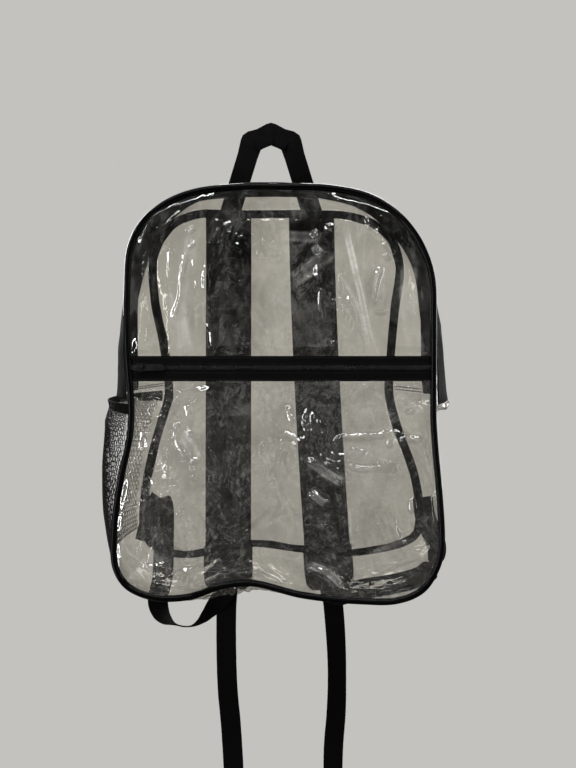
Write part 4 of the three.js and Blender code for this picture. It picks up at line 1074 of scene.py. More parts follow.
# The room's own light: soft and cloudy, so that the vinyl has something to mirror.
world = bpy.data.worlds.new("room")
world.use_nodes = True
bpy.context.scene.world = world
tree = world.node_tree
tree.nodes.clear()
direction = tree.nodes.new("ShaderNodeTexCoord").outputs["Generated"]
clouds = tree.nodes.new("ShaderNodeTexNoise")
clouds.inputs["Scale"].default_value = 3.6
clouds.inputs["Detail"].default_value = 2
tree.links.new(direction, clouds.inputs["Vector"])
ramp = tree.nodes.new("ShaderNodeValToRGB")
for stop, (position, brightness) in enumerate([(0.4, 0.015), (0.56, 0.12), (0.72, 0.9)]):
    if stop > 1:
        ramp.color_ramp.elements.new(position)
    element = ramp.color_ramp.elements[stop]
    element.position = position
    element.color = (brightness, brightness, brightness * 0.97, 1)
tree.links.new(clouds.outputs["Fac"], ramp.inputs["Fac"])
room = tree.nodes.new("ShaderNodeBackground")
tree.links.new(ramp.outputs["Color"], room.inputs["Color"])
room_out = tree.nodes.new("ShaderNodeOutputWorld")
tree.links.new(room.outputs[0], room_out.inputs["Surface"])
bpy.context.scene.view_settings.view_transform = "Standard"

# Floor that curves up into a backdrop all round
WALL_COLOUR = (0.546, 0.539, 0.515)
FLOOR_Z = -1.25
STAGE_RADIUS = 3.2
SWEEP = 0.8
sweep_turn = np.linspace(0, np.pi / 2, 14)
stage_profile = np.vstack([
    [(0.01, FLOOR_Z)],
    np.column_stack([
        STAGE_RADIUS - SWEEP + np.sin(sweep_turn) * SWEEP,
        FLOOR_Z + SWEEP - np.cos(sweep_turn) * SWEEP,
    ]),
    [(STAGE_RADIUS, 3.2), (0.01, 3.4)],
])
stage_turn = np.linspace(0, 2 * np.pi, 96, endpoint=False)
stage_grid = np.stack([
    np.outer(stage_profile[:, 0], np.cos(stage_turn)),
    np.outer(stage_profile[:, 0], np.sin(stage_turn)),
    np.repeat(stage_profile[:, 1:], len(stage_turn), axis=1),
], axis=2)
stage_faces, _, _ = quads(len(stage_profile), len(stage_turn), wrap_columns=True)
stage_faces = stage_faces.tolist() + [list(range(len(stage_turn)))]
studio = add_mesh("studio", stage_grid.reshape(-1, 3), stage_faces)
paint = Nodes("studio_paint")
glow = paint.add("ShaderNodeEmission")
glow.inputs["Color"].default_value = (*WALL_COLOUR, 1)
studio.data.materials.append(paint.done(glow.outputs[0]))
studio.visible_diffuse = False
studio.visible_glossy = False
studio.visible_transmission = False
studio.visible_shadow = False


# Clear panels


def patch(top, right, bottom, left):
    """A grid inside four sides. top and bottom run left to right, the others top to bottom."""
    u = np.linspace(0, 1, len(top))[None, :, None]
    v = np.linspace(0, 1, len(left))[:, None, None]
    straight = (1 - v) * top[None] + v * bottom[None] + (1 - u) * left[:, None] + u * right[:, None]
    corners = (
        (1 - u) * (1 - v) * top[0] + u * (1 - v) * top[-1] + (1 - u) * v * bottom[0] + u * v * bottom[-1]
    )
    return straight - corners


def side_line(points, first, last, distance, count):
    return even_line(inset(points, np.linspace(first, last, 240), distance), count)


def edge_share(grid):
    """0 at the edge and 1 in the middle of a grid."""
    u = np.linspace(0, 1, grid.shape[1])[None]
    v = np.linspace(0, 1, grid.shape[0])[:, None]
    return 2 * np.minimum(np.minimum(u, 1 - u), np.minimum(v, 1 - v))


def dented(grid, dents):
    low, high = grid.reshape(-1, 3).min(0), grid.reshape(-1, 3).max(0)
    middle, half = (low + high) / 2, (high - low) / 2
    total = np.zeros(grid.shape[:2])
    for x, down, wide, tall, depth in dents:
        u = ((grid[..., 0] - middle[0]) / half[0] - x) / wide
        v = ((middle[2] - grid[..., 2]) / half[2] - down) / tall
        total += depth * DEPTH * np.exp(-(u * u + v * v))
    fade = np.minimum(1, edge_share(grid) / 0.5)
    return total * fade * (2 - fade)


def near_edge(grid, reach):
    """Rises from 0 at the grid's edge to 1 at this distance from it."""
    first = np.linalg.norm(grid - grid[:, :1], axis=2)
    last = np.linalg.norm(grid - grid[:, -1:], axis=2)
    top = np.linalg.norm(grid - grid[:1], axis=2)
    bottom = np.linalg.norm(grid - grid[-1:], axis=2)
    return smoothstep(np.minimum(np.minimum(first, last), np.minimum(top, bottom)), 0, reach)


# Layers of folds. Columns: size in millimetres, stretch upwards, octaves, softness, slope, patchy.
FRONT_LAYERS = [(52, 3.0, 2, 0.1, 0.13, False), (11, 1.3, 2, 0.06, 0.14, True)]
FRONT_FACES = (16, 0.13)
POCKET_LAYERS = [
    (44, 1.5, 2, 0.08, 0.12, False),
    (26, 1.2, 2, 0.06, 0.1, False),
    (11, 1.2, 2, 0.06, 0.18, True),
]
POCKET_FACES = (26, 0.16)
INNER_LAYERS = [(40, 1.6, 2, 0.08, 0.14, False), (20, 1.3, 2, 0.06, 0.16, False)]
BACK_LAYERS = [
    (50, 2.4, 2, 0.08, 0.16, False),
    (24, 1.3, 2, 0.06, 0.12, False),
    (11, 1.3, 2, 0.06, 0.25, True),
]
# Patches crushed finer. Columns: x, z and reach in millimetres, share of the full crushing.
FRONT_SPOTS = [(40, -190, 26, 1.0), (60, -150, 22, 0.8), (-60, -200, 20, 0.5), (-20, -180, 28, 0.5)]
POCKET_SPOTS = [
    (60, -345, 30, 1.0),
    (110, -355, 34, 0.9),
    (-110, -470, 30, 1.0),
    (60, -440, 34, 0.8),
    (-40, -400, 40, 0.6),
]
EDGE_FADE = 12 * MM


def panel_grid(points, top, foot, columns, rows, straight=None):
    """A grid of a panel. top and foot hold the seam's rows at the left and right corner."""

    def across(left, right, is_straight):
        if is_straight:
            return even_line(inset(points, np.array([left, right]), SHEET_TUCK), columns)
        return side_line(points, left, right, SHEET_TUCK, columns)

    return patch(
        across(top[0], top[1] if straight == "top" else ROWS + top[1], straight == "top"),
        side_line(points, top[1], foot[1], SHEET_TUCK, rows),
        across(foot[0], foot[1], straight == "foot"),
        side_line(points, top[0], foot[0], SHEET_TUCK, rows),
    )


def panel_piece(name, grid, layers, seed, y, material, replaces, dents=(), spots=(), faces=None,
                creases=(), milk_and_painted_reflection=(), towards=-1, lift=0.0):
    """A clear panel at depth y. towards is the side its folds rise to and lift bows its middle."""
    sunk = dented(grid, dents)
    height = relief(grid, layers, seed, spots, faces=faces)
    height = height + crease_heights(grid, height - sunk, creases, y)
    height = height * near_edge(grid, EDGE_FADE)
    # Painted reflection: white strokes along the listed streaks, where the film would mirror light.
    milkiness_and_painted_reflection = painted_reflection_shares(grid[..., 0], grid[..., 2], milk_and_painted_reflection)
    grid = grid.copy()
    grid[..., 1] = y + sunk + towards * height + lift * edge_share(grid)
    finish_piece(sheet(name, grid, height, milkiness_and_painted_reflection), MATERIALS[material], [replaces])


COLUMNS = 292
FRONT_ROWS, POCKET_ROWS = 164, 212
INNER_COLUMNS, INNER_ROWS = 150, 120
BACK_COLUMNS, BACK_ROWS = 180, 240
TOP_CORNERS = (TOP_LEFT_ROW, TOP_RIGHT_ROW)
FOOT_CORNERS = (BOTTOM_LEFT_ROW, BOTTOM_RIGHT_ROW)
ZIP_CORNERS = corners_at(POCKET_ZIP_TOP)
TAPE_CORNERS = corners_at(LOWER_TAPE_BOTTOM)
INNER_CORNERS = (28.6, 7.45)
panel_piece(
    "vinyl_front", panel_grid(FRONT_SEAM, TOP_CORNERS, ZIP_CORNERS, COLUMNS, FRONT_ROWS, "foot"),
    FRONT_LAYERS, 11, -DEPTH, "front", "front_panel", FRONT_DENTS, FRONT_SPOTS, FRONT_FACES,
    FRONT_CREASES, FRONT_PAINTED_REFLECTIONS,
)
panel_piece(
    "vinyl_pocket", panel_grid(FRONT_SEAM, TAPE_CORNERS, FOOT_CORNERS, COLUMNS, POCKET_ROWS, "top"),
    POCKET_LAYERS, 31, POCKET_PANEL_Y, "pocket", "pocket_panel", POCKET_DENTS, POCKET_SPOTS, POCKET_FACES,
    POCKET_CREASES, POCKET_PAINTED_REFLECTIONS,
)
panel_piece(
    "vinyl_pocket_back",
    panel_grid(FRONT_SEAM, INNER_CORNERS, FOOT_CORNERS, INNER_COLUMNS, INNER_ROWS, "top"),
    INNER_LAYERS, 57, POCKET_BACK_Y, "inner", "pocket_backing", towards=1, lift=POCKET_ROOM,
)
panel_piece(
    "vinyl_back", panel_grid(BACK_SEAM, TOP_CORNERS, FOOT_CORNERS, BACK_COLUMNS, BACK_ROWS),
    BACK_LAYERS, 83, 0, "back", "back_panel", BACK_DENTS,
)


SIDE_LAYERS = [(30, 1.4, 2, 0.06, 0.14, False), (13, 1.2, 2, 0.06, 0.08, False)]
GUSSET_FADE = 8 * MM


def gusset_sheet(name, first, last, start, end, step, replaces, seed, amount=1.0, sag=None):
    """A strip of the gusset. sag adds height at pairs of row and distance back."""
    rows = even_rows(first, last, step)
    backs = np.linspace(start, end, max(int((end - start) / step), 3) + 1)
    grid = gusset(rows, backs)
    along = lengths(seam(FRONT_SEAM, rows))[:, None] + 0 * backs[None]
    across = 0 * rows[:, None] + backs[None]
    height = relief(grid, SIDE_LAYERS, seed, flat=(across, along)) * amount
    height *= smoothstep(np.minimum(backs - start, end - backs), 0, GUSSET_FADE)[None]
    if sag is not None:
        height = height + sag(rows[:, None], across)
    grid = grid + gusset_normals(grid, rows) * height[..., None]
    return finish_piece(sheet(name, grid, height), MATERIALS["side"], replaces)


# The slack of the lower gusset: it shows below the raised bottom seam and beside the zip's right end.
# Columns: row, reach in rows, distance back, reach back, height in millimetres.
SLACK = [(18.7, 1.2, 30, 24, 7.0), (8.25, 0.28, 52, 40, 6.0)]


def slack(rows, backs):
    total = np.zeros(np.broadcast(rows, backs).shape)
    for number, (row, row_reach, back, back_reach, height) in enumerate(SLACK):
        near = np.exp(-(((rows - row) / row_reach) ** 2) - ((backs / MM - back) / back_reach) ** 2)
        ragged = 1 + 0.5 * perlin(rows * 5, backs / (9 * MM), 400 + number)
        total += near * ragged * height * MM
    return total


gusset_sheet(
    "vinyl_lip", ZIP_END_LEFT, ZIP_END_RIGHT + ROWS, SHEET_TUCK, BAND_START + MM, 2.4 * MM,
    ["gusset_front_lip"], 101, 0.7,
)
gusset_sheet(
    "vinyl_rear_strip", ZIP_END_LEFT, ZIP_END_RIGHT + ROWS, TAPE_END - MM, DEPTH - SHEET_TUCK, 2.0 * MM,
    ["gusset_rear_strip"], 113, 0.9,
)
gusset_sheet(
    "vinyl_lower_gusset", ZIP_END_RIGHT, ZIP_END_LEFT, SHEET_TUCK, DEPTH - SHEET_TUCK, 2.0 * MM,
    ["lower_gusset"], 127, 1.0, slack,
)


# Piping with its seam stitches


def piping(name, points, radius, replaces):
    rows = even_rows(0, ROWS, 2.5 * MM, points)[:-1]
    away = outward(points, rows)
    through = np.tile([0.0, 1.0, 0.0], (len(rows), 1))
    wander = 1 + 0.03 * perlin(rows * 1.7, rows * 0, 5)[:, None]
    profile = round_profile(radius, 16)[None] * wander[:, :, None]
    rings = profile_rings(seam(points, rows), away, through, profile)
    piece = loft(name, rings, closed=True)
    return finish_piece(piece, MATERIALS["piping"], replaces)


piping("piping_front", FRONT_SEAM, FRONT_PIPING_RADIUS, ["front_piping"])
piping("piping_back", BACK_SEAM, BACK_PIPING_RADIUS, ["back_piping"])


# A flat binding covers the back seam inside the bag
BACK_BINDING_WIDTH = 8.5 * MM
BACK_BINDING_Y = -1.6 * MM
# Pairs of row and share of that width
BACK_BINDING_SHARES = [
    (0, 0.8), (5, 1.0), (12, 0.95), (15, 0.62), (18, 0.55), (21, 0.62), (24, 0.95), (31, 1.0), (36, 0.8),
]
binding_edge_rows = even_rows(0, ROWS, 2.5 * MM, BACK_SEAM)[:-1]
binding_away = outward(BACK_SEAM, binding_edge_rows)
binding_centres = inset(BACK_SEAM, binding_edge_rows, BACK_BINDING_WIDTH / 2)
binding_centres[:, 1] += BACK_BINDING_Y
binding_wander = perlin(binding_edge_rows * 2.3, binding_edge_rows * 0, 15) * 0.5 * MM
binding_centres += binding_away * binding_wander[:, None]
binding_rings = profile_rings(
    binding_centres, binding_away, np.tile([0.0, 1.0, 0.0], (len(binding_edge_rows), 1)),
    np.stack([
        flat_profile(BACK_BINDING_WIDTH * share, 1.1 * MM, steps=4, edge_steps=2)
        for share in look_up(BACK_BINDING_SHARES, binding_edge_rows)
        * (1 + 0.2 * perlin(binding_edge_rows * 1.3, binding_edge_rows * 0, 17))
    ]),
)
finish_piece(loft("binding_back_seam", binding_rings, closed=True), MATERIALS["binding"])


def stitch_line(name, path, up, length=2.4 * MM, gap=1.0 * MM, radius=0.32 * MM):
    """Thread stitches end to end along a path."""
    along = lengths(path)
    count = max(int(along[-1] / (length + gap)), 1)
    places = np.arange(count) * (length + gap)
    starts, ends = read_at(path, along, places), read_at(path, along, places + length)
    piece = capsules(name, starts, ends, radius, up=up)
    return finish_piece(piece, MATERIALS["thread"])


for name, points, radius, y_side in (
    ("stitches_piping_front", FRONT_SEAM, FRONT_PIPING_RADIUS, -1),
    ("stitches_piping_back", BACK_SEAM, BACK_PIPING_RADIUS, 1),
):
    rows = even_rows(0, ROWS, 4 * MM, points)
    line = inset(points, rows, radius * 0.72)
    line[:, 1] += y_side * radius * 0.62
    stitch_line(name, line, np.array([0, 1.0, 0]), length=3.0 * MM, radius=0.28 * MM)


# Main zip


def gusset_cloth(name, start, end, thickness, material, replaces, seed):
    rows = even_rows(ZIP_END_LEFT, ZIP_END_RIGHT + ROWS, 3 * MM)
    backs = np.linspace(start, end, max(int((end - start) / (3 * MM)), 3) + 1)
    grid = gusset(rows, backs)
    along = lengths(seam(FRONT_SEAM, rows))[:, None] + 0 * backs[None]
    across = 0 * rows[:, None] + backs[None]
    height = crumple(across, along, seed, 0.028, stretch=1.5, octaves=2, softness=0.12) * 1.6 * MM
    fade = smoothstep(np.minimum(backs - start, end - backs), 0, 0.008)[None]
    grid = grid + normals_of(grid) * (height * fade)[..., None]
    return finish_piece(shell(name, grid, thickness), MATERIALS[material], replaces)


CHAIN_MIDDLE = (CHAIN_START + CHAIN_END) / 2
ZIP_HALF_GAP = 0.3 * MM
ZIP_CLOTH_THICKNESS = 0.9 * MM
gusset_cloth(
    "band_front", BAND_START, CHAIN_MIDDLE - ZIP_HALF_GAP, ZIP_CLOTH_THICKNESS, "band",
    ["main_zip_band_front"], 151,
)
gusset_cloth(
    "tape_rear", CHAIN_MIDDLE + ZIP_HALF_GAP, TAPE_END, ZIP_CLOTH_THICKNESS, "tape",
    ["main_zip_tape_rear"], 163,
)


def coil(name, path, across, up, replaces, pitch=1.5 * MM, reach=2.7 * MM, radius=0.5 * MM):
    """Two interlocked rows of coil teeth along a path."""
    along = lengths(path)
    count = int(along[-1] / pitch) * 2
    places = np.linspace(0, along[-1], count)
    centre = read_at(path, along, places)
    side, lift = (unit(read_at(directions, along, places)) for directions in (across, up))
    flip = np.where(np.arange(count) % 2 == 0, 1.0, -1.0)[:, None]
    starts = centre - side * flip * reach * 0.3
    ends = centre + side * flip * reach
    piece = capsules(name, starts, ends, radius, flat=1.5, up=lift)
    return finish_piece(piece, MATERIALS["coil"], replaces)


chain_rows = even_rows(ZIP_END_LEFT + 0.06, ZIP_END_RIGHT + ROWS - 0.06, 4 * MM)
chain_grid = gusset(chain_rows, [CHAIN_START, CHAIN_MIDDLE, CHAIN_END])
chain_out = gusset_normals(chain_grid, chain_rows)[:, 1]
chain_across = chain_grid[:, 2] - chain_grid[:, 0]
coil(
    "coil_main", chain_grid[:, 1] + chain_out * 0.7 * MM, chain_across, chain_out, ["main_zip_chain"]
)
for name, back in (
    ("stitches_band_front", BAND_START + 2.2 * MM),
    ("stitches_tape_rear", TAPE_END - 2 * MM),
):
    line_rows = even_rows(ZIP_END_LEFT + 0.05, ZIP_END_RIGHT + ROWS - 0.05, 4 * MM)
    line_grid = gusset(line_rows, [back - 0.5 * MM, back, back + 0.5 * MM])
    line_out = gusset_normals(line_grid, line_rows)[:, 1]
    stitch_line(name, line_grid[:, 1] + line_out * 0.6 * MM, np.array([0, 1.0, 0]))


# Double seams where the rear strip meets the lower gusset
for side, row in (("right", ZIP_END_RIGHT), ("left", ZIP_END_LEFT)):
    inward = -1 if side == "right" else 1
    for number, step in enumerate((0.03, 0.09)):
        across_backs = np.linspace(TAPE_END + MM, DEPTH - 4 * MM, 30)
        seam_grid = gusset(np.array([row + inward * step, row + inward * (step + 0.01)]), across_backs)
        path = seam_grid[0] - outward(FRONT_SEAM, np.array([float(row)])) * 0.5 * MM
        thread = loft(
            f"seam_{side}_{number}",
            profile_rings(
                path, np.tile([0, 0, 1.0], (len(path), 1)), np.tile([1.0, 0, 0], (len(path), 1)),
                round_profile(0.45 * MM, 8),
            ),
        )
        finish_piece(thread, MATERIALS["thread"])


# Front pocket zip


def pocket_strip(top, bottom, y, columns=120, rows=7):
    """A grid across the bag between two heights, from piping to piping."""
    grid = np.zeros((rows, columns, 3))
    for i, z in enumerate(np.linspace(top, bottom, rows)):
        ends = inset(FRONT_SEAM, np.array([row_at(z, False), row_at(z, True)]), FRONT_PIPING_RADIUS * 0.6)
        grid[i, :, 0] = np.linspace(ends[0, 0], ends[1, 0], columns)
        grid[i, :, 1] = y
        grid[i, :, 2] = z
    grid[..., 1] += perlin(grid[..., 0] / 0.03, grid[..., 2] / 0.02, 171) * 0.35 * MM
    return grid


CHAIN_Z = (CHAIN_TOP + CHAIN_BOTTOM) / 2
for half, top, bottom, y in (
    ("upper", POCKET_ZIP_TOP + 0.8 * MM, CHAIN_Z + ZIP_HALF_GAP, -DEPTH - 0.3 * MM),
    ("lower", CHAIN_Z - ZIP_HALF_GAP, LOWER_TAPE_BOTTOM - 0.8 * MM, -DEPTH - 0.5 * MM),
):
    finish_piece(
        shell(f"pocket_tape_{half}", pocket_strip(top, bottom, y), ZIP_CLOTH_THICKNESS),
        MATERIALS["tape"], [f"pocket_zip_tape_{half}"],
    )
chain_line = pocket_strip(CHAIN_Z + 0.1 * MM, CHAIN_Z - 0.1 * MM, -DEPTH - 1.1 * MM, columns=60, rows=3)[1]
coil(
    "coil_pocket", chain_line, np.tile([0, 0, 1.0], (60, 1)), np.tile([0, -1.0, 0], (60, 1)),
    ["pocket_zip_chain"],
)
for name, z, y in (
    ("stitches_pocket_upper_edge", POCKET_ZIP_TOP - 1.2 * MM, -DEPTH - 0.95 * MM),
    ("stitches_pocket_upper", CHAIN_TOP + 1.6 * MM, -DEPTH - 0.95 * MM),
    ("stitches_pocket_lower", LOWER_TAPE_TOP - 2.2 * MM, -DEPTH - 1.15 * MM),
    ("stitches_pocket_lower_edge", LOWER_TAPE_BOTTOM + 1.2 * MM, -DEPTH - 1.15 * MM),
):
    line = pocket_strip(z + 0.1 * MM, z - 0.1 * MM, y, columns=80, rows=3)[1]
    stitch_line(name, line, np.array([0, -1.0, 0]))


# Mesh pocket
MESH_OUT = 31 * MM
MESH_OUT_SHARES = [(23, 0.0), (24, 0.45), (25, 0.76), (26, 1.0), (27, 0.8), (28, 0.3)]
MESH_SQUARENESS = 0.58
MESH_FRONT = 5.0 * MM
MESH_REAR = 125.7 * MM
MOUTH_ROW = 27.75
BINDING_ROW = 27
MESH_FOOT_ROW = 23.02


def mesh_surface(rows, shares):
    """Points of the mesh pocket at pairs of row and share from its front edge to its rear edge."""
    backs = MESH_FRONT + (MESH_REAR - MESH_FRONT) * shares
    out = look_up(MESH_OUT_SHARES, rows)
    stand = 1.35 * MM + MESH_OUT * out * np.sin(np.pi * shares) ** MESH_SQUARENESS
    front, rear = seam(FRONT_SEAM, rows), seam(BACK_SEAM, rows)
    away = unit(outward(FRONT_SEAM, rows) + outward(BACK_SEAM, rows))
    share = (backs / DEPTH)[:, None]
    stand = bulge_at(rows) * np.sin(np.pi * share[:, 0]) + stand
    return front * (1 - share) + rear * share + away * stand[:, None]


def net(name, pitch=4.1 * MM, radius=0.44 * MM, sides=4):
    """Hexagonal net of thread: three strands meet at each knot."""
    tall, wide = 0.132, 0.150
    cell_w, cell_h = pitch, pitch * math.sqrt(3)
    columns, rows = int(wide / cell_w), int(tall / cell_h)
    knots, strands, index = [], [], {}

    def knot(x, y):
        key = (round(x / pitch * 12), round(y / pitch * 12))
        if key not in index:
            index[key] = len(knots)
            knots.append((x, y))
        return index[key]

    side = pitch / math.sqrt(3)
    for i in range(columns + 1):
        for j in range(rows + 1):
            for shift in (0, 1):
                cx = (i + shift * 0.5) * cell_w
                cy = (j + shift * 0.5) * cell_h
                corners = [
                    knot(cx + side * math.sin(k * math.pi / 3), cy + side * math.cos(k * math.pi / 3))
                    for k in range(6)
                ]
                strands += [tuple(sorted((corners[k], corners[(k + 1) % 6]))) for k in range(6)]
    strands = np.array(sorted(set(strands)))
    flat = np.array(knots)
    shares = flat[:, 0] / wide
    rows_at = BINDING_ROW + 0.1 - (flat[:, 1] / tall) * (BINDING_ROW + 0.1 - MESH_FOOT_ROW)
    jitter = np.random.default_rng(7).normal(0, 0.0006, (len(flat), 2))
    keep = (shares > 0.004) & (shares < 0.996) & (rows_at > MESH_FOOT_ROW) & (rows_at < BINDING_ROW + 0.08)
    strands = strands[keep[strands].all(axis=1)]
    shares = np.clip(shares + jitter[:, 0], 0.002, 0.998)
    places = mesh_surface(np.clip(rows_at + jitter[:, 1] * 4, MESH_FOOT_ROW, 27.1), shares)
    piece = capsules(name, places[strands[:, 0]], places[strands[:, 1]], radius, sides=sides,
                     up=np.array([0.3, 0.2, 0.9]), shares=[(0.0, 1.0), (1.0, 1.0)])
    return finish_piece(piece, MATERIALS["net"], ["mesh_pocket"])


net("net_pocket")

binding_rows = np.linspace(MOUTH_ROW, BINDING_ROW - 0.02, 9)
binding_shares = np.linspace(0.0, 1.0, 90)
binding_grid = np.stack([mesh_surface(np.full(90, r), binding_shares) for r in binding_rows])
gather = perlin(*np.broadcast_arrays(binding_shares[None] * 26, binding_rows[:, None]), 9)
binding_grid = binding_grid + normals_of(binding_grid) * (gather * 0.5 * MM)[..., None]
finish_piece(
    shell("binding_mesh_pocket", binding_grid, 1.8 * MM), MATERIALS["binding"],
    ["mesh_pocket_binding"],
)


# Webbing


def section(place, across=(1, 0, 0), width=WEBBING_WIDTH):
    """A section of a strap: its place, the direction of its width and its width in millimetres."""
    return [*place, *unit(np.array(across, float)), width / MM]


def loop_sections():
    """The haul loop: flat to the front, with a bend at two shoulders and one over the hook."""
    foot = np.array([LOOP_SPREAD, LOOP_FOOT_Z])
    shoulder = np.array([LOOP_SHOULDER, LOOP_SHOULDER_Z - WEBBING_WIDTH / 2])
    peak = np.array([0, WEBBING_WIDTH / 2])
    leg, top = shoulder - foot, peak - shoulder
    leg_normal = unit(np.array([leg[1], -leg[0]]))
    top_normal = unit(np.array([top[1], -top[0]]))
    mitre = unit(leg_normal + top_normal)
    mitre_width = WEBBING_WIDTH / mitre.dot(leg_normal)
    # Columns: place, direction of the width, width, thicknesses of webbing behind the feet
    side = [
        (foot, leg_normal, WEBBING_WIDTH, 0),
        (foot + leg * 0.35, leg_normal, WEBBING_WIDTH, 0.25),
        (foot + leg * 0.8, leg_normal, WEBBING_WIDTH, -0.75),
        (shoulder, mitre, mitre_width, -1.625),
        (shoulder + top * 0.45, top_normal, WEBBING_WIDTH, -1.125),
    ]
    right = [
        section((x, SEWN_Y + WEBBING_THICKNESS * layers, z), (across[0], 0, across[1]), width)
        for (x, z), across, width, layers in side
    ]
    middle = section((0, 0, peak[1]), (0, 0, 1), LOOP_PEAK_WIDTH)
    mirrored = np.array(right[::-1]) * [-1, 1, 1, -1, 1, 1, 1]
    return [*right, middle, *mirrored]


def round_bar(x, bar_z, start, end):
    """Webbing that turns round a bar, from one angle about it to another."""
    return [
        section((x, LOCK_Y + WEB_REACH * math.cos(angle), bar_z + WEB_REACH * math.sin(angle)))
        for angle in np.linspace(start, end, BAR_STEPS + 1)
    ]


def tab_sections(x):
    """The short tab that holds an adjuster: down, round its top bar and up again."""
    outer_y = TAB_Y + WEBBING_THICKNESS + SEAM_GAP
    inner = [section((x, TAB_Y, TOP_BAR_Z + up)) for up in (TAB_LENGTH, LOCK_BAR)]
    outer = [section((x, outer_y, TOP_BAR_Z + up)) for up in (TAB_LENGTH / 2, TAB_LENGTH)]
    return [*inner, *round_bar(x, TOP_BAR_Z, math.pi, 2 * math.pi), *outer]


def adjuster_sections(side, lock_x):
    """From the anchor up to a fold, down in a slack loop, up round the lower bar, and down."""
    anchor_x, _, anchor_z = BACK_SEAM[ANCHOR_ROWS[side]]
    tail_top = LOWER_BAR_Z - LOCK_HEIGHT
    sections = []
    for x, up, layer, *across in WEBBING_RISE[side]:
        place = (anchor_x + x * WEBBING_WIDTH, SEWN_Y + layer * ANCHOR_LAYER, anchor_z + up * WEBBING_WIDTH)
        sections.append(section(place, across))
    for x, drop, y, *across in WEBBING_SLACK[side]:
        z = anchor_z + (LOWER_BAR_Z - anchor_z) * x - drop * WEBBING_WIDTH
        sections.append(section((anchor_x + (lock_x - anchor_x) * x, SEWN_Y + y * WEBBING_WIDTH, z), across))
    sections += round_bar(lock_x, LOWER_BAR_Z, math.pi, 0)
    for x, y, down, turn in WEBBING_TAIL[side]:
        z = tail_top + (TAIL_END_Z - tail_top) * down
        place = (lock_x + x * WEBBING_WIDTH, LOCK_Y + WEB_REACH + y * WEBBING_WIDTH, z)
        sections.append(section(place, (1, turn, 0)))
    return sections


def webbing(name, sections, replaces, straight=False, step=1.6 * MM):
    """A strap of webbing through sections of place, width direction and width."""
    sections = np.array(sections, float)
    count = len(sections)
    dense = np.linspace(0, count - 1, (count - 1) * 24 + 1)
    if straight:
        path = read_at(sections, np.arange(count), dense)
    else:
        path = spline(sections, dense)
    path = even_line(path, max(int(lengths(path[:, :3])[-1] / step), 4))
    across, through = frames_along(path[:, :3], path[:, 3:6])
    flat = flat_profile(1.0, WEBBING_THICKNESS / WEBBING_WIDTH, steps=14)
    widths = path[:, 6] * MM
    rib = 1 + 0.006 * np.sin(np.arange(len(path)) * 2.4)
    profile = np.stack([
        np.column_stack([flat[:, 0] * w * r, flat[:, 1] * WEBBING_WIDTH]) for w, r in zip(widths, rib)
    ])
    wave = perlin(np.arange(len(path)) * 0.05, np.zeros(len(path)), 3) * 0.25 * MM
    centres = path[:, :3] + through * wave[:, None]
    piece = loft(name, profile_rings(centres, across, through, profile))
    finish_piece(piece, MATERIALS["webbing"], [replaces])


webbing("webbing_haul_loop", loop_sections(), "haul_loop", straight=True)
for side in ("left", "right"):
    lock_x = STRAP_X[side] + STRAP_LEAN[side]
    webbing(f"webbing_{side}", adjuster_sections(side, lock_x), f"adjuster_webbing_{side}")
    webbing(f"tab_{side}", tab_sections(lock_x), f"strap_tab_{side}")


# Shoulder straps


def strap_side_view():
    """A shoulder strap seen from the side: how far back, height, and width in millimetres."""
    start_y = BACK_INSET + WEBBING_THICKNESS + SEAM_GAP + STRAP_THICKNESS / 2
    drop = STRAP_TOP_Z - STRAP_END_Z
    # Over the top. Columns: back from the start and down from the top, in thicknesses of the strap
    over = [(0.2, 1.8), (0.5, 0.75), (1.4, 0.5), (2.3, 0.9), (2.7, 2.4)]
    # Behind the back. Columns: thicknesses behind the standoff, share of the drop
    behind = [(1, 0.14), (0.8, 0.27), (0.5, 0.42), (0.2, 0.57), (0, 0.72), (-0.2, 0.87)]
    # Rounded foot. Columns: strap widths above the end, share of the width
    foot = [(0.24, 1), (0.08, 0.94), (0, 0.78)]
    return np.array([
        (start_y, LOOP_FOOT_Z, STRAP_WIDTH),
        *((start_y + STRAP_THICKNESS * y, STRAP_TOP_Z - STRAP_THICKNESS * z, STRAP_WIDTH) for y, z in over),
        *((STRAP_STANDOFF + STRAP_THICKNESS * y, STRAP_TOP_Z - drop * z, STRAP_WIDTH) for y, z in behind),
        *((STRAP_END_Y, STRAP_END_Z + STRAP_WIDTH * z, STRAP_WIDTH * w) for z, w in foot),
    ]) / [1, 1, MM]


def strap_path(side, count=260):
    side_view = strap_side_view()
    share = np.clip((STRAP_TOP_Z - side_view[:, 1]) / (STRAP_TOP_Z - STRAP_END_Z), 0, 1)
    x = STRAP_X[side] + STRAP_LEAN[side] * share**STRAP_LEAN_CURVE
    rows = np.column_stack([x, side_view])
    path = spline(rows, np.linspace(0, len(rows) - 1, 1200))
    return even_line(path, count)


PAD_HALF_STEPS = np.array([0.0, 0.2, 0.4, 0.58, 0.72, 0.8, 0.86, 0.93, 0.98, 1.0])
PAD_HEIGHTS = np.array([1.0, 0.99, 0.97, 0.92, 0.82, 0.68, 0.62, 0.6, 0.45, 0.12])


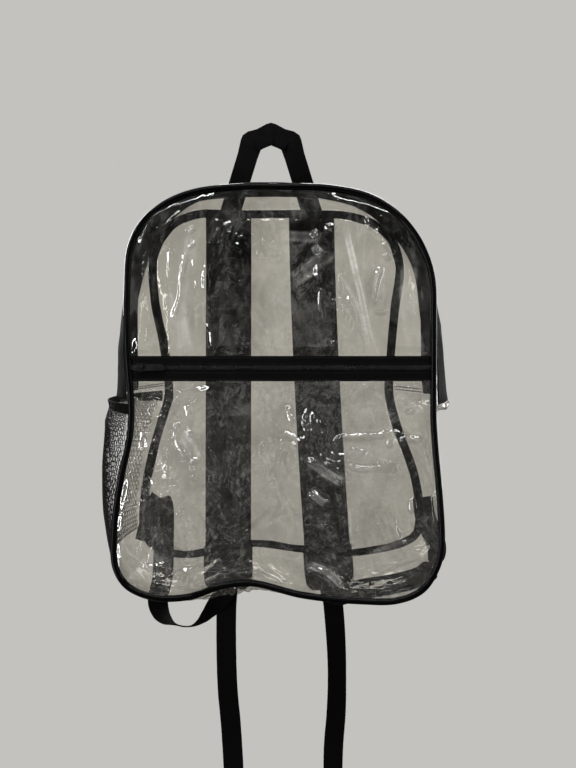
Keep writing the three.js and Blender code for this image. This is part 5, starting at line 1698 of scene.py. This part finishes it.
def pad_profile():
    """Shares of half the width and half the thickness: a crown, a sewn channel and a bound edge."""
    top = np.column_stack([
        np.concatenate([PAD_HALF_STEPS[::-1], -PAD_HALF_STEPS[1:]]),
        np.concatenate([PAD_HEIGHTS[::-1], PAD_HEIGHTS[1:]]),
    ])
    return np.vstack([top, -top])


for side in ("left", "right"):
    path = strap_path(side)
    sideways = np.tile([1.0, 0, 0], (len(path), 1))
    across, through = frames_along(path[:, :3], sideways)
    shape = pad_profile()
    quilt = 1 + 0.05 * perlin(np.arange(len(path)) * 0.12, np.zeros(len(path)), 21)
    profile = np.stack([
        np.column_stack([shape[:, 0] * w * MM / 2, shape[:, 1] * STRAP_THICKNESS / 2 * q])
        for w, q in zip(path[:, 3], quilt)
    ])
    pad = loft(f"strap_{side}", profile_rings(path[:, :3], across, through, profile))
    finish_piece(pad, MATERIALS["strap"], [f"shoulder_strap_{side}"])
    half = path[:, 3:4] * MM / 2 - 1.6 * MM
    edge = np.vstack([path[:, :3] + across * half, (path[::-1, :3] - across[::-1] * half[::-1])])
    edge = even_line(edge[12:-12], 560)
    inward = np.repeat([-1.0, 1.0], len(edge) // 2)[:, None] * np.array([1.0, 0, 0])
    edge_across, edge_through = frames_along(edge, inward + np.array([0, 0, 1e-3]))
    bound = round_profile(1.0, 12) * np.array([3.4 * MM, 2.3 * MM])
    binding = loft(f"strap_binding_{side}", profile_rings(edge, edge_across, edge_through, bound))
    finish_piece(binding, MATERIALS["binding"])

# Hard pieces keep their solids and get softened edges
for name, material, width in (
    ("strap_adjuster_left", "plastic", 0.5 * MM),
    ("strap_adjuster_right", "plastic", 0.5 * MM),
    ("main_zip_slider", "metal", 0.22 * MM),
    ("pocket_zip_slider", "metal", 0.22 * MM),
    ("pocket_zip_pull", "metal", 0.22 * MM),
):
    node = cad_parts[name]
    node.data.materials.clear()
    node.data.materials.append(MATERIALS[material])
    weld = node.modifiers.new("weld", "WELD")
    weld.merge_threshold = 1e-6
    bevel = node.modifiers.new("edges", "BEVEL")
    bevel.width = width
    bevel.segments = 2
    bevel.limit_method = "ANGLE"
